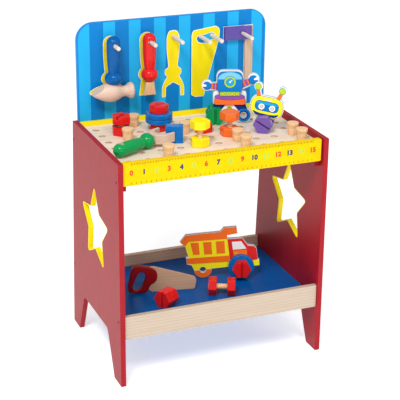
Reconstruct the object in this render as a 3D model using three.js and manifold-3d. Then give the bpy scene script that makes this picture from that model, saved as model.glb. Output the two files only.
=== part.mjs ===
// A wooden toy workbench, in millimetres, +Z up. The origin is on the floor, at the middle of the
// bench's box. +X runs to the right along the bench, +Y to the back board. The bench stands on two
// side panels. Its top is a board of holes for pegs and bolts, its back board holds hanging tools,
// and a shelf below holds more toys. Every loose piece can be taken off.

import * as THREE from 'three';
import { mergeVertices } from 'three/addons/utils/BufferGeometryUtils.js';
import Module from 'manifold-3d';

const wasm = await Module();
wasm.setup();

// ---- Driving dimensions -------------------------------------------------------------------------

const WIDTH = 460;               // over the two side panels
const DEPTH = 336;               // at the feet, front to back
const HEIGHT = 700;              // floor to the top of the back board
const GAP = 0.3;                 // clearance between pieces that touch

const PANEL = { height: 490, thickness: 11.3, lean: 33, arch: { top: 81, bottom: 123, height: 96 } };
const STAR = { y: -10, z: 298, outer: 88, inner: 46, points: 5, tip: 9, notch: 4 };
const TOP = { surface: 477, thickness: 12 };
const APRON = { thickness: 12, recess: 6, bottom: 440.5, top: 489, corner: 4, short: 2.6 };
const REAR_RAIL = { thickness: 8, bottom: 440.5, top: 486.5 };
const BOARD = { front: 131, thickness: 8, bottom: 440.5, corner: 38 };
const CLEAT = { width: 11, height: 39 };
const SHELF = { surface: 126, thickness: 6 };
const SHELF_RAIL = { thickness: 11, recess: 5, bottom: 105, top: 156, rearY: 141, rearDrop: 3.5 };
const HOLES = { pitch: 42.3, columns: 10, rows: 6, radius: 7, centre: [-1.5, -16] };
const DOWEL = { radius: 4.6, tip: 72 };
const PEG = { height: 26, body: 10.4, head: 12.5, shank: 6.4, depth: 13 };
const BOLT = { flats: 36.4, head: 17, shank: 6.4, length: 42, slot: 4, slotDepth: 6 };
const NUT = { thickness: 17.5, bore: 7 };
const DISC = { radius: 29, thickness: 10.4 };
const PLATE = 9;                 // plywood of the truck and the robots
const TRUCK = { x: 28.4, y: 20.1, turn: -19, rearWheel: 19.5, hub: 17, wheelBase: 85.5 };
const ROBOT = { x: 65, y: 48, turn: -21, stride: 61, foot: 18, footRadius: 17 };
const SMALL_ROBOT = { x: 139, y: -41, turn: -32, tilt: -9 };

// ---- Values that follow -------------------------------------------------------------------------

const panelInner = WIDTH / 2 - PANEL.thickness;
const front = -DEPTH / 2;
const back = DEPTH / 2;
const span = 2 * (panelInner - GAP);
const bolted = BOLT.flats / 2;
const benchZ = TOP.surface + GAP;
const shelfZ = SHELF.surface + GAP;

const PAINT = {
  red: { color: 0xc4262b, roughness: 0.4 },
  darkRed: { color: 0xa31a22, roughness: 0.45 },
  yellow: { color: 0xf6e100, roughness: 0.4 },
  blue: { color: 0x0a62b4, roughness: 0.3 },
  skyBlue: { color: 0x0a86d0, roughness: 0.4 },
  green: { color: 0x0b9a4c, roughness: 0.3 },
  orange: { color: 0xf2622a, roughness: 0.45 },
  purple: { color: 0x6f4aa8, roughness: 0.45 },
  white: { color: 0xeceef0, roughness: 0.5 },
  pine: { color: 0xe6cfaa, roughness: 0.65 },
  beech: { color: 0xe0b88c, roughness: 0.6 },
};

// ---- Solids -------------------------------------------------------------------------------------

const tidy = (geometry) => {
  const bare = geometry.clone();
  bare.deleteAttribute('normal');
  bare.deleteAttribute('uv');
  const merged = mergeVertices(bare, 1e-4);
  const index = merged.index.array;
  const kept = [];
  for (let i = 0; i < index.length; i += 3) {
    const [a, b, c] = [index[i], index[i + 1], index[i + 2]];
    if (a !== b && b !== c && c !== a) {
      kept.push(a, b, c);
    }
  }
  return { points: merged.attributes.position.array, triangles: kept };
};

// A three.js geometry as a manifold solid. Its faces are turned outwards if they point in.
const solid = (geometry) => {
  const { points, triangles } = tidy(geometry);
  const build = (order) => {
    const triVerts = Uint32Array.from(order);
    const mesh = new wasm.Mesh({ numProp: 3, vertProperties: Float32Array.from(points), triVerts });
    return new wasm.Manifold(mesh);
  };
  const first = build(triangles);
  if (first.volume() > 0) {
    return first;
  }
  const flipped = [];
  for (let i = 0; i < triangles.length; i += 3) {
    flipped.push(triangles[i], triangles[i + 2], triangles[i + 1]);
  }
  return build(flipped);
};

const geometryOf = (manifold) => {
  const mesh = manifold.getMesh();
  const geometry = new THREE.BufferGeometry();
  geometry.setAttribute('position', new THREE.BufferAttribute(mesh.vertProperties, mesh.numProp));
  geometry.setIndex(new THREE.BufferAttribute(mesh.triVerts, 1));
  geometry.computeVertexNormals();
  return geometry;
};

const cut = (body, ...tools) => geometryOf(tools.reduce((s, tool) => s.subtract(solid(tool)), solid(body)));

const join = (...bodies) => geometryOf(bodies.map(solid).reduce((sum, body) => sum.add(body)));

// ---- Outlines and blanks ------------------------------------------------------------------------

const ROUND = 14;                // sides of a turned piece
const radians = THREE.MathUtils.degToRad;

// A closed outline through [x, y, corner] points, each corner eased by a curve of about that size.
const outline = (points, Kind = THREE.Shape) => {
  const path = new Kind();
  const corners = points.map(([x, y, corner = 0], i) => {
    const here = new THREE.Vector2(x, y);
    const before = new THREE.Vector2(...points.at(i - 1));
    const after = new THREE.Vector2(...points[(i + 1) % points.length]);
    const reach = (to) => Math.min(corner, here.distanceTo(to) * 0.45);
    const towards = (to) => here.clone().lerp(to, reach(to) / here.distanceTo(to));
    return { here, corner, enter: towards(before), leave: towards(after) };
  });
  corners.forEach(({ here, corner, enter, leave }, i) => {
    if (i === 0) {
      path.moveTo(enter.x, enter.y);
    } else {
      path.lineTo(enter.x, enter.y);
    }
    if (corner > 0) {
      path.quadraticCurveTo(here.x, here.y, leave.x, leave.y);
    }
  });
  path.closePath();
  return path;
};

const rectangle = (x0, y0, x1, y1, r = 0, Kind) =>
  outline([[x0, y0, r], [x1, y0, r], [x1, y1, r], [x0, y1, r]], Kind);

const circle = (x, y, r) => new THREE.Shape().absarc(x, y, r, 0, 2 * Math.PI);

const slab = (shape, depth, curveSegments = 4) =>
  new THREE.ExtrudeGeometry(shape, { depth, bevelEnabled: false, curveSegments });

// An outline drawn in Y and Z, made solid along +X.
const sideways = (shape, depth, curveSegments) => {
  const axes = [new THREE.Vector3(0, 1, 0), new THREE.Vector3(0, 0, 1), new THREE.Vector3(1, 0, 0)];
  return slab(shape, depth, curveSegments).applyMatrix4(new THREE.Matrix4().makeBasis(...axes));
};

// An outline drawn in X and Z, made solid along -Y, towards the front.
const upright = (shape, depth, curveSegments) => slab(shape, depth, curveSegments).rotateX(Math.PI / 2);

const block = (x, y, z) => new THREE.BoxGeometry(x, y, z);

// A solid turned about Z, from [radius, height] points that start and end on the axis.
const turned = (points, sides = ROUND) => {
  const profile = points.map(([r, z]) => new THREE.Vector2(r, z));
  return new THREE.LatheGeometry(profile, sides).rotateX(Math.PI / 2);
};

const rod = (radius, from, to, sides = ROUND) => turned([[0, from], [radius, from], [radius, to], [0, to]], sides);

// A rod along Y, with its middle at the origin.
const crossRod = (radius, length) => rod(radius, -length / 2, length / 2).rotateX(Math.PI / 2);

const hexagon = () => {
  const shape = new THREE.Shape();
  for (let i = 0; i < 6; i += 1) {
    const a = radians(60 * i + 30);
    const r = BOLT.flats / Math.sqrt(3);
    shape[i ? 'lineTo' : 'moveTo'](r * Math.cos(a), r * Math.sin(a));
  }
  return shape;
};

// ---- Naming and placing -------------------------------------------------------------------------

const bench = new THREE.Group();

const piece = (name, geometry, paint, at = [0, 0, 0], turn = 0, parent = bench) => {
  const mesh = new THREE.Mesh(geometry, new THREE.MeshStandardMaterial({ ...paint, metalness: 0 }));
  mesh.name = name;
  mesh.position.set(...at);
  mesh.rotation.z = radians(turn);
  parent.add(mesh);
  return mesh;
};

// A group whose +X runs along a standing toy and whose -Y looks out of its front face.
const standing = (x, y, z, turn, pitch = 0) => {
  const group = new THREE.Group();
  group.position.set(x, y, z);
  group.rotation.order = 'ZYX';
  group.rotation.z = radians(turn);
  group.rotation.y = radians(-pitch);
  bench.add(group);
  return group;
};

// ---- Frame of the bench -------------------------------------------------------------------------

const starPath = () => {
  const points = [];
  for (let i = 0; i < 2 * STAR.points; i += 1) {
    const a = Math.PI / 2 + (i * Math.PI) / STAR.points;
    const tip = i % 2 === 0;
    const r = tip ? STAR.outer : STAR.inner;
    points.push([STAR.y + r * Math.cos(a), STAR.z + r * Math.sin(a), tip ? STAR.tip : STAR.notch]);
  }
  return outline(points, THREE.Path);
};

const sidePanel = () => {
  const { height, lean, arch } = PANEL;
  const shape = outline([
    [front, 0, 2], [-arch.bottom, 0], [-arch.top, arch.height, 9], [arch.top, arch.height, 9],
    [arch.bottom, 0], [back, 0, 2], [back - lean, height, 3], [front, height, 3],
  ]);
  shape.holes.push(starPath());
  return sideways(shape, PANEL.thickness, 3);
};

piece('left_side_panel', sidePanel(), PAINT.red, [-WIDTH / 2, 0, 0]);
piece('right_side_panel', sidePanel(), PAINT.red, [panelInner, 0, 0]);

const rail = (height, thickness, corner = 1, short = 0) =>
  upright(rectangle(-span / 2, 0, span / 2 - short, height, corner), thickness, 2);

const apronRear = front + APRON.recess + APRON.thickness;
const apronHeight = APRON.top - APRON.bottom;
const apron = rail(apronHeight, APRON.thickness, APRON.corner, APRON.short);
piece('front_apron', apron, PAINT.yellow, [0, apronRear, APRON.bottom]);

const rearRailBack = BOARD.front - GAP;
const rearRailHeight = REAR_RAIL.top - REAR_RAIL.bottom;
piece('rear_top_rail', rail(rearRailHeight, REAR_RAIL.thickness), PAINT.yellow, [0, rearRailBack, REAR_RAIL.bottom]);

// The tools hang on dowels at these places across the back board.
const DOWELS = {
  hammer_peg: [-144, 654],
  screwdriver_peg: [-62, 654],
  pliers_peg: [-1, 655],
  saw_peg_left: [62, 650],
  saw_peg_right: [89, 650],
  square_peg: [160, 650],
};

const backBoard = () => {
  const half = span / 2;
  const r = BOARD.corner;
  const shape = new THREE.Shape();
  shape.moveTo(-half, BOARD.bottom);
  shape.lineTo(half, BOARD.bottom);
  shape.lineTo(half, HEIGHT - r);
  shape.absarc(half - r, HEIGHT - r, r, 0, Math.PI / 2);
  shape.lineTo(-half + r, HEIGHT);
  shape.absarc(-half + r, HEIGHT - r, r, Math.PI / 2, Math.PI);
  shape.closePath();
  for (const [x, z] of Object.values(DOWELS)) {
    shape.holes.push(new THREE.Path().absarc(x, z, DOWEL.radius + GAP, 0, 2 * Math.PI, true));
  }
  return upright(shape, BOARD.thickness, 8);
};

const boardBack = BOARD.front + BOARD.thickness;
piece('back_board', backBoard(), PAINT.skyBlue, [0, boardBack, 0]);

// A dowel lies along Y, from just inside the board's back face to its tip.
const dowelLength = boardBack - 1 - DOWEL.tip;
const dowelMiddle = (boardBack - 1 + DOWEL.tip) / 2;
for (const [name, [x, z]] of Object.entries(DOWELS)) {
  piece(name, crossRod(DOWEL.radius - 0.1, dowelLength), PAINT.pine, [x, dowelMiddle, z]);
}

const topFront = apronRear + GAP;
const topBack = rearRailBack - REAR_RAIL.thickness - GAP;
const column = (i) => HOLES.centre[0] + (i - (HOLES.columns - 1) / 2) * HOLES.pitch;
const row = (j) => HOLES.centre[1] + (j - (HOLES.rows - 1) / 2) * HOLES.pitch;

const benchTop = () => {
  const shape = rectangle(-span / 2, topFront, span / 2, topBack);
  for (let i = 0; i < HOLES.columns; i += 1) {
    for (let j = 0; j < HOLES.rows; j += 1) {
      shape.holes.push(new THREE.Path().absarc(column(i), row(j), HOLES.radius, 0, 2 * Math.PI, true));
    }
  }
  return slab(shape, TOP.thickness, 5);
};
piece('bench_top', benchTop(), PAINT.pine, [0, 0, TOP.surface - TOP.thickness]);

const cleatZ = TOP.surface - TOP.thickness - GAP - CLEAT.height / 2;
const cleatX = panelInner - GAP - CLEAT.width / 2;
const cleatLength = topBack - topFront;
const cleatY = (topFront + topBack) / 2;
const cleat = () => block(CLEAT.width, cleatLength, CLEAT.height);
piece('left_top_cleat', cleat(), PAINT.darkRed, [-cleatX, cleatY, cleatZ]);
piece('right_top_cleat', cleat(), PAINT.darkRed, [cleatX, cleatY, cleatZ]);

const shelfRailHeight = SHELF_RAIL.top - SHELF_RAIL.bottom;
const frontRailBack = front + SHELF_RAIL.recess + SHELF_RAIL.thickness;
const rearRailZ = SHELF_RAIL.bottom - SHELF_RAIL.rearDrop;
const shelfRail = () => rail(shelfRailHeight, SHELF_RAIL.thickness);
piece('shelf_front_rail', shelfRail(), PAINT.pine, [0, frontRailBack, SHELF_RAIL.bottom]);
piece('shelf_back_rail', shelfRail(), PAINT.pine, [0, SHELF_RAIL.rearY + SHELF_RAIL.thickness, rearRailZ]);

const shelfDepth = SHELF_RAIL.rearY - frontRailBack - 2 * GAP;
const shelfY = (SHELF_RAIL.rearY + frontRailBack) / 2;
const shelfMiddle = SHELF.surface - SHELF.thickness / 2;
piece('shelf_board', block(span, shelfDepth, SHELF.thickness), PAINT.blue, [0, shelfY, shelfMiddle]);

// ---- Bolts, nuts and pegs -----------------------------------------------------------------------

// A bolt stands on its shank: the head's underside is at z = 0, and the shank hangs below.
const bolt = (slotted = true) => {
  const body = join(slab(hexagon(), BOLT.head), rod(BOLT.shank, -BOLT.length, 1));
  if (!slotted) {
    return body;
  }
  const slot = block(3 * BOLT.flats, BOLT.slot, 2 * BOLT.slotDepth).translate(0, 0, BOLT.head);
  return cut(body, slot);
};

const nut = () => cut(slab(hexagon(), NUT.thickness), rod(NUT.bore, -1, NUT.thickness + 1));

const disc = () => {
  const blank = rod(DISC.radius, 0, DISC.thickness, 28);
  return cut(blank, rod(NUT.bore, -1, DISC.thickness + 1));
};

// Bolts that stand in the bench's holes, each through its own nut. headZ is the head's underside.
// turn sets the hexagon's corners: one corner lies at turn + 30 degrees.
const standingBolt = (name, paint, i, j, headZ, boltTurn, nutName, nutTurn, slotted) => {
  piece(name, bolt(slotted), paint, [column(i), row(j), headZ], boltTurn);
  piece(nutName, nut(), paint, [column(i), row(j), benchZ], nutTurn);
};

standingBolt('red_bolt', PAINT.red, 1, 4, 502, 44, 'red_nut', 48, true);
standingBolt('yellow_bolt', PAINT.yellow, 4, 1, 515, 8, 'yellow_nut', 51, false);
standingBolt('orange_bolt', PAINT.orange, 6, 2, 512, 12, 'orange_nut', 59, false);

const lowDisc = benchZ + NUT.thickness + GAP;
const highDisc = lowDisc + DISC.thickness + GAP;
const stackHead = highDisc + DISC.thickness + GAP;
standingBolt('wheel_bolt', PAINT.red, 3, 4, stackHead, 17, 'wheel_nut', 40, true);
piece('lower_blue_wheel', disc(), PAINT.blue, [column(3), row(4), lowDisc]);
piece('upper_blue_wheel', disc(), PAINT.blue, [column(3), row(4), highDisc]);

piece('spare_red_nut', nut(), PAINT.red, [column(5), row(3), benchZ], 44);

const pegProfile = [
  [0, -PEG.depth], [PEG.shank, -PEG.depth], [PEG.shank, 0], [PEG.body, 0], [PEG.body, 15],
  [PEG.head, 21], [PEG.head, PEG.height - 1.2], [PEG.head - 1.2, PEG.height], [0, PEG.height],
];
const PEG_HOLES = [[2, 5], [1, 3], [2, 0], [4, 3], [6, 1], [6, 0], [9, 1], [9, 0]];
PEG_HOLES.forEach(([i, j], n) => {
  piece(`bench_peg_${n + 1}`, turned(pegProfile), PAINT.beech, [column(i), row(j), benchZ]);
});

const BLOCK = { width: 36, depth: 20, height: 36.5 };
const blockBore = crossRod(NUT.bore, 2 * BLOCK.width).rotateZ(Math.PI / 2);
const squareBlock = cut(block(BLOCK.width, BLOCK.depth, BLOCK.height), blockBore);
piece('blue_block_nut', squareBlock, PAINT.blue, [-63.7, -40.6, benchZ + BLOCK.height / 2], -22);

// ---- Tools --------------------------------------------------------------------------------------

// The turned profile of a tool's handle, with its rounded end up: [radius, z] from the ball's flat
// bottom at z = 0. grow makes the same shape larger all over, to cut its seat in another piece.
const handleProfile = ({ length, grip, neck, ball, ballHeight, seat }, grow = 0) => {
  const points = [[0, -grow], [seat + grow, -grow]];
  const steps = 6;
  const half = ballHeight / 2;
  const first = -Math.acos(seat / ball);
  const last = Math.acos(neck / ball);
  for (let i = 1; i <= steps; i += 1) {
    const a = first + ((last - first) * i) / steps;
    points.push([(ball + grow) * Math.cos(a), half + (half + grow) * Math.sin(a)]);
  }
  const neckZ = points.at(-1)[1];
  const domeZ = length - grip;
  for (const [share, part] of [[0.25, 0.15], [0.55, 0.7], [0.8, 1]]) {
    points.push([neck + (grip - neck) * part + grow, neckZ + (domeZ - neckZ) * share]);
  }
  for (let i = 0; i <= steps; i += 1) {
    const a = (Math.PI / 2) * (i / steps);
    points.push([(grip + grow) * Math.cos(a), domeZ + (grip + grow) * Math.sin(a)]);
  }
  points.at(-1)[0] = 0;
  return points;
};

const TENON = { radius: 5.5, length: 20 };
const SOCKET = { radius: TENON.radius + GAP, length: TENON.length + 1 };

// The handle keeps a socket for the working end's tenon, and a hole that its dowel goes through.
const toolHandle = (sizes, holeZ) => {
  const blank = turned(handleProfile(sizes), 18);
  const hole = crossRod(DOWEL.radius + 1.2, 4 * sizes.grip).translate(0, 0, holeZ);
  return cut(blank, hole, rod(SOCKET.radius, -5, SOCKET.length));
};

// Hammer: a turned head along X, with a round face to the right and a pointed pein to the left.
const HAMMER = { length: 107, grip: 14.5, neck: 11, ball: 20.5, ballHeight: 38, seat: 14 };
const HAMMER_AT = { x: -144, y: 108.4, z: 566 };
const HEAD_DROP = 14;            // from the ball's bottom down to the head's axis
piece('hammer_handle', toolHandle(HAMMER, DOWELS.hammer_peg[1] - HAMMER_AT.z), PAINT.blue,
  [HAMMER_AT.x, HAMMER_AT.y, HAMMER_AT.z]);

const hammerHead = () => {
  const profile = [
    [0, -52], [4.5, -52], [10.5, -42], [17, -27], [21.4, -11], [20.4, 4], [16, 15],
    [14.6, 22], [15.8, 30], [18, 39], [17.4, 45], [0, 45],
  ];
  const blank = turned(profile, 18).rotateY(Math.PI / 2);
  const seat = turned(handleProfile(HAMMER, 2 * GAP), 18).translate(0, 0, HEAD_DROP);
  const tenon = rod(TENON.radius, -6, HEAD_DROP + TENON.length, 18);
  return geometryOf(solid(blank).subtract(solid(seat)).add(solid(tenon)));
};
piece('hammer_head', hammerHead(), PAINT.beech, [HAMMER_AT.x, HAMMER_AT.y, HAMMER_AT.z - HEAD_DROP]);

// Screwdriver: a flat blade that widens and thins towards its edge.
const SCREWDRIVER = { length: 109, grip: 14.5, neck: 11, ball: 18, ballHeight: 36, seat: 12.5 };
const SCREWDRIVER_AT = { x: -62, y: 112.5, z: 563 };
piece('screwdriver_handle', toolHandle(SCREWDRIVER, DOWELS.screwdriver_peg[1] - SCREWDRIVER_AT.z),
  PAINT.red, [SCREWDRIVER_AT.x, SCREWDRIVER_AT.y, SCREWDRIVER_AT.z]);

const screwdriverBlade = () => {
  const thick = 13;
  const faceOn = outline([[-10.5, -GAP], [-14.2, -27, 3], [14.2, -27, 3], [10.5, -GAP]]);
  const edgeOn = outline([[-thick / 2, -GAP], [-1.8, -27], [1.8, -27], [thick / 2, -GAP]]);
  const wide = upright(faceOn, thick).translate(0, thick / 2, 0);
  const wedge = sideways(edgeOn, 40).translate(-20, 0, 0);
  const tenon = rod(TENON.radius, -3, TENON.length);
  return geometryOf(solid(wide).intersect(solid(wedge)).add(solid(tenon)));
};
piece('screwdriver_blade', screwdriverBlade(), PAINT.beech,
  [SCREWDRIVER_AT.x, SCREWDRIVER_AT.y, SCREWDRIVER_AT.z]);

// Wrench: it lies on the bench top. In its own group +Z runs from the working end to the handle.
const WRENCH = { length: 107, grip: 12.8, neck: 10, ball: 14.8, ballHeight: 29, seat: 9.5 };
const WRENCH_AT = { x: -127, y: -58, turn: 27 };
const WRENCH_HEAD = { half: 24.5, jaw: 6, length: 54, notch: 27, thickness: 20 };
const wrench = new THREE.Group();
wrench.position.set(WRENCH_AT.x, WRENCH_AT.y, benchZ + WRENCH.ball);
wrench.rotation.order = 'ZYX';
wrench.rotation.z = radians(WRENCH_AT.turn);
wrench.rotation.y = -Math.PI / 2;
bench.add(wrench);

const wrenchSeat = 10;           // from the ball's middle to its flat bottom
// The handle's hanging hole stands upright as it lies, so it is turned a quarter about its length.
const wrenchHandle = toolHandle(WRENCH, WRENCH.length - 17).rotateZ(Math.PI / 2);
piece('wrench_handle', wrenchHandle, PAINT.green, [0, 0, -wrenchSeat], 0, wrench);

// The head's outline is drawn across (X) and along the tool (Y), with its open jaws at the far end.
const wrenchHead = () => {
  const { half, jaw, length, notch, thickness } = WRENCH_HEAD;
  const inner = half - jaw;
  const shape = outline([
    [-9, 0], [9, 0], [half, 14, 8], [half, length - wrenchSeat, 2], [inner, length - wrenchSeat, 2],
    [inner, notch + 4, 6], [9, notch - wrenchSeat, 9], [-9, notch - wrenchSeat, 9],
    [-inner, notch + 4, 6], [-inner, length - wrenchSeat, 2], [-half, length - wrenchSeat, 2],
    [-half, 14, 8],
  ]);
  const plate = slab(shape, thickness).translate(0, 0, -thickness / 2);
  const tenon = rod(TENON.radius, 0, TENON.length + 4).rotateX(Math.PI / 2).translate(0, 4, 0);
  return join(plate, tenon);
};
// Turned so that the outline's X lies level and its Y points away from the handle.
const wrenchHeadTurn = new THREE.Matrix4().makeBasis(
  new THREE.Vector3(0, 1, 0), new THREE.Vector3(0, 0, -1), new THREE.Vector3(-1, 0, 0));
piece('wrench_head', wrenchHead().applyMatrix4(wrenchHeadTurn), PAINT.beech,
  [0, 0, -wrenchSeat - GAP], 0, wrench);

// Saw: it stands on its teeth on the shelf. X runs from the handle to the blade's tip.
const SAW = { x: -108, y: -6.5, turn: -11, blade: 6, handle: 12, tooth: 3.2, toothDepth: 2 };
const saw = standing(SAW.x, SAW.y, shelfZ, SAW.turn);

const sawBlade = (grow = 0) => {
  const points = [[-6, 10], [-6, 60 + grow], [10, 60 + grow, 2], [100, 29.5 + grow, 5], [103.5, 22, 3], [100, 2, 2]];
  const teeth = 30;
  for (let i = 0; i < teeth; i += 1) {
    const x = 97 - i * SAW.tooth;
    points.push([x, SAW.toothDepth], [x - SAW.tooth / 2, 0]);
  }
  return upright(outline(points), SAW.blade + 2 * grow, 3).translate(0, SAW.blade / 2 + grow, 0);
};

const sawHandle = () => {
  const shape = outline([
    [-40, 3, 5], [-12, 0, 8], [-3, 6, 8], [0, 18, 8], [16, 27, 12], [17, 48, 14], [6, 59, 5],
    [-24, 66, 8], [-38, 64, 8], [-48, 16, 5], [-46, 4, 3],
  ]);
  shape.holes.push(outline([
    [-36, 8, 7], [-26, 6.5, 6], [-17, 12, 8], [-7.5, 40, 9], [-13, 50, 7], [-25, 50, 8], [-38, 18, 8],
  ].reverse(), THREE.Path));
  return upright(shape, SAW.handle, 3).translate(0, SAW.handle / 2, 0);
};
piece('saw_handle', cut(sawHandle(), sawBlade(GAP)), PAINT.red, [0, 0, 0], 0, saw);
piece('saw_blade', sawBlade(), PAINT.beech, [0, 0, 0], 0, saw);

// Try square: a stock with the blade let into its back, hung against the board.
const SQUARE = { left: 117, right: 181, bottom: 637, top: 666, thickness: 10, blade: 4.6 };
const SQUARE_BLADE = { left: 167, right: 186, bottom: 543, top: 665 };
const squareBack = BOARD.front - GAP;
const dowelHole = () => crossRod(DOWEL.radius + 1.2, 60).translate(DOWELS.square_peg[0], 0, DOWELS.square_peg[1]);
const squareStock = () => {
  const { left, right, bottom, top, thickness, blade } = SQUARE;
  const body = upright(rectangle(left, bottom, right, top, 1), thickness, 2);
  const housing = block(60, 2 * blade, 60).translate(SQUARE_BLADE.left - GAP + 30, 0, (bottom + top) / 2);
  return cut(body, housing, dowelHole());
};
piece('square_stock', squareStock(), PAINT.purple, [0, squareBack, 0]);
const squareBlade = upright(
  rectangle(SQUARE_BLADE.left, SQUARE_BLADE.bottom, SQUARE_BLADE.right, SQUARE_BLADE.top, 1),
  SQUARE.blade - GAP, 2);
piece('square_blade', cut(squareBlade, dowelHole()), PAINT.beech, [0, squareBack, 0]);

// ---- Toys bolted together -----------------------------------------------------------------------

// A bolt lying along -Y of its group: the head's underside is at y = -offset, the head in front.
const lying = (geometry) => geometry.rotateX(Math.PI / 2);

// Truck: an upright plate. x and z are measured from the rear wheel's centre.
const truckPitch = Math.asin((DISC.radius - TRUCK.rearWheel) / TRUCK.wheelBase);
const truck = standing(TRUCK.x, TRUCK.y, shelfZ + TRUCK.rearWheel, TRUCK.turn, THREE.MathUtils.radToDeg(truckPitch));

const truckPlate = () => {
  const r = TRUCK.rearWheel;
  const shape = new THREE.Shape();
  shape.moveTo(-r, 0);
  shape.absarc(0, 0, r, Math.PI, 2 * Math.PI);
  shape.absarc(TRUCK.wheelBase, 0, TRUCK.hub, Math.PI, 2 * Math.PI);
  const rest = [
    [110, -4.5], [127, -4.5], [127.5, 9], [124.5, 11], [124, 38], [119, 44],
    [105.5, 47], [94, 66], [60.5, 68], [62, 76], [85, 78], [84.5, 94], [56, 95], [47.5, 86.5],
    [-30, 87.5], [-44, 71.5], [-33.5, 61], [-31.5, 46], [-28.5, 35], [-34.5, 35], [-34.5, 17],
    [-24, 14],
  ];
  rest.forEach(([x, z]) => shape.lineTo(x, z));
  shape.closePath();
  for (const x of [0, TRUCK.wheelBase]) {
    shape.holes.push(new THREE.Path().absarc(x, 0, NUT.bore, 0, 2 * Math.PI, true));
  }
  return upright(shape, PLATE, 6).translate(0, PLATE, 0);
};
piece('truck_body', truckPlate(), PAINT.orange, [0, 0, 0], 0, truck);

const wheelAt = [TRUCK.wheelBase, -GAP, 0];
piece('truck_wheel', lying(disc()), PAINT.blue, wheelAt, 0, truck);
const truckBolt = lying(bolt().rotateZ(radians(90) + truckPitch));
piece('truck_bolt', truckBolt, PAINT.red, [TRUCK.wheelBase, -DISC.thickness - 2 * GAP, 0], 0, truck);

// A plate's outline made of overlapping simple outlines, each an outline drawn in X and Z.
const printedPlate = (outlines, holes) => {
  const parts = outlines.map((shape) => upright(shape, PLATE, 6).translate(0, PLATE, 0));
  const drills = holes.map(([x, z]) => crossRod(NUT.bore, 4 * PLATE).translate(x, 0, z));
  return cut(join(...parts), ...drills);
};

// Big robot: a plain toy robot that stands on two round feet. x runs from its left foot's centre.
const robot = standing(ROBOT.x, ROBOT.y, benchZ, ROBOT.turn);
const robotHoles = [[0, ROBOT.foot], [ROBOT.stride, ROBOT.foot]];
const robotPlate = () => {
  const mid = ROBOT.stride / 2;
  return printedPlate([
    circle(0, ROBOT.foot, ROBOT.footRadius),
    circle(ROBOT.stride, ROBOT.foot, ROBOT.footRadius),
    outline([[-10, 20], [15, 20], [mid, 42], [mid, 50], [0, 50, 4]]),
    outline([[ROBOT.stride + 12, 20], [ROBOT.stride + 2, 50, 4], [mid, 50], [mid, 42], [ROBOT.stride - 17, 20]]),
    rectangle(mid - 36, 40, mid + 36, 72, 8),
    rectangle(mid - 29, 66, mid + 29, 118, 16),
    outline([[mid - 20, 92, 4], [mid - 46, 88, 6], [mid - 48, 74, 5], [mid - 20, 72, 4]]),
    circle(mid - 49, 84, 12),
    outline([[mid + 20, 72, 4], [mid + 46, 84, 6], [mid + 48, 100, 5], [mid + 20, 94, 4]]),
    circle(mid + 50, 98, 13),
  ], robotHoles);
};
piece('big_robot', robotPlate(), PAINT.white, [0, 0, 0], 0, robot);
piece('green_bolt', lying(bolt().rotateZ(radians(90))), PAINT.green, [0, -GAP, bolted], 0, robot);
const behind = (thickness) => PLATE + GAP + thickness;
piece('green_nut', lying(nut().rotateZ(radians(30))), PAINT.green, [0, behind(NUT.thickness), bolted], 0, robot);

// Small robot: a round head with two feelers, held up by its bolt's head.
const smallRobot = standing(SMALL_ROBOT.x, SMALL_ROBOT.y, benchZ + bolted, SMALL_ROBOT.turn);
const smallPlate = () => {
  const plate = printedPlate([
    outline([[-12, -6, 6], [12, -6, 6], [15, 24], [-15, 24]]),
    rectangle(-36, 12, 36, 60, 22),
    outline([[-24, 50], [-14, 54], [-20, 76], [-29, 73]]),
    circle(-25, 77, 9),
    outline([[14, 54], [24, 50], [31, 72], [22, 76]]),
    circle(27, 77, 9),
  ], [[0, 0]]);
  return plate.rotateY(radians(-SMALL_ROBOT.tilt));
};
piece('small_robot', smallPlate(), PAINT.white, [0, 0, 0], 0, smallRobot);
piece('purple_bolt', lying(bolt().rotateZ(radians(-30))), PAINT.purple, [0, -GAP, 0], 0, smallRobot);
piece('purple_nut', lying(nut().rotateZ(radians(30))), PAINT.purple, [0, behind(NUT.thickness), 0], 0, smallRobot);

// Two bolts with their nuts lie on the shelf, each on a flat of its hexagon.
const pairOnShelf = (name, x, y, turn, slotTurn, between) => {
  const pair = standing(x, y, shelfZ + bolted, turn);
  const flatDown = (geometry) => geometry.rotateY(-Math.PI / 2);
  piece(`${name}_bolt`, flatDown(bolt().rotateZ(radians(slotTurn))), PAINT.red, [0, 0, 0], 0, pair);
  const nutX = GAP + between + NUT.thickness;
  piece(`${name}_nut`, flatDown(nut()), PAINT.red, [nutX, 0, 0], 0, pair);
};
pairOnShelf('tight_pair', -97, -82, 32, 0, 0);
pairOnShelf('open_pair', 46.4, -77.4, 154, 60, 23);

export default bench;
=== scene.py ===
import math
import random

import bmesh
import bpy
from mathutils import Matrix, Vector


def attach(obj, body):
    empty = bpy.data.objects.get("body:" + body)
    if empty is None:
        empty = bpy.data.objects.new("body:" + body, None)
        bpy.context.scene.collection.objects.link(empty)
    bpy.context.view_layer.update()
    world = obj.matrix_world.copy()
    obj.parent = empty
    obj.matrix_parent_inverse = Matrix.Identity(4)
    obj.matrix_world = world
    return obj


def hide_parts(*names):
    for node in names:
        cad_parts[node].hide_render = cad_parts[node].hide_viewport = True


# The looks of a wooden toy workbench with its tools, bolts and bolt-together toys. Every piece is
# built in millimetres in its own axes and stands where its CAD node stands.

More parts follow.
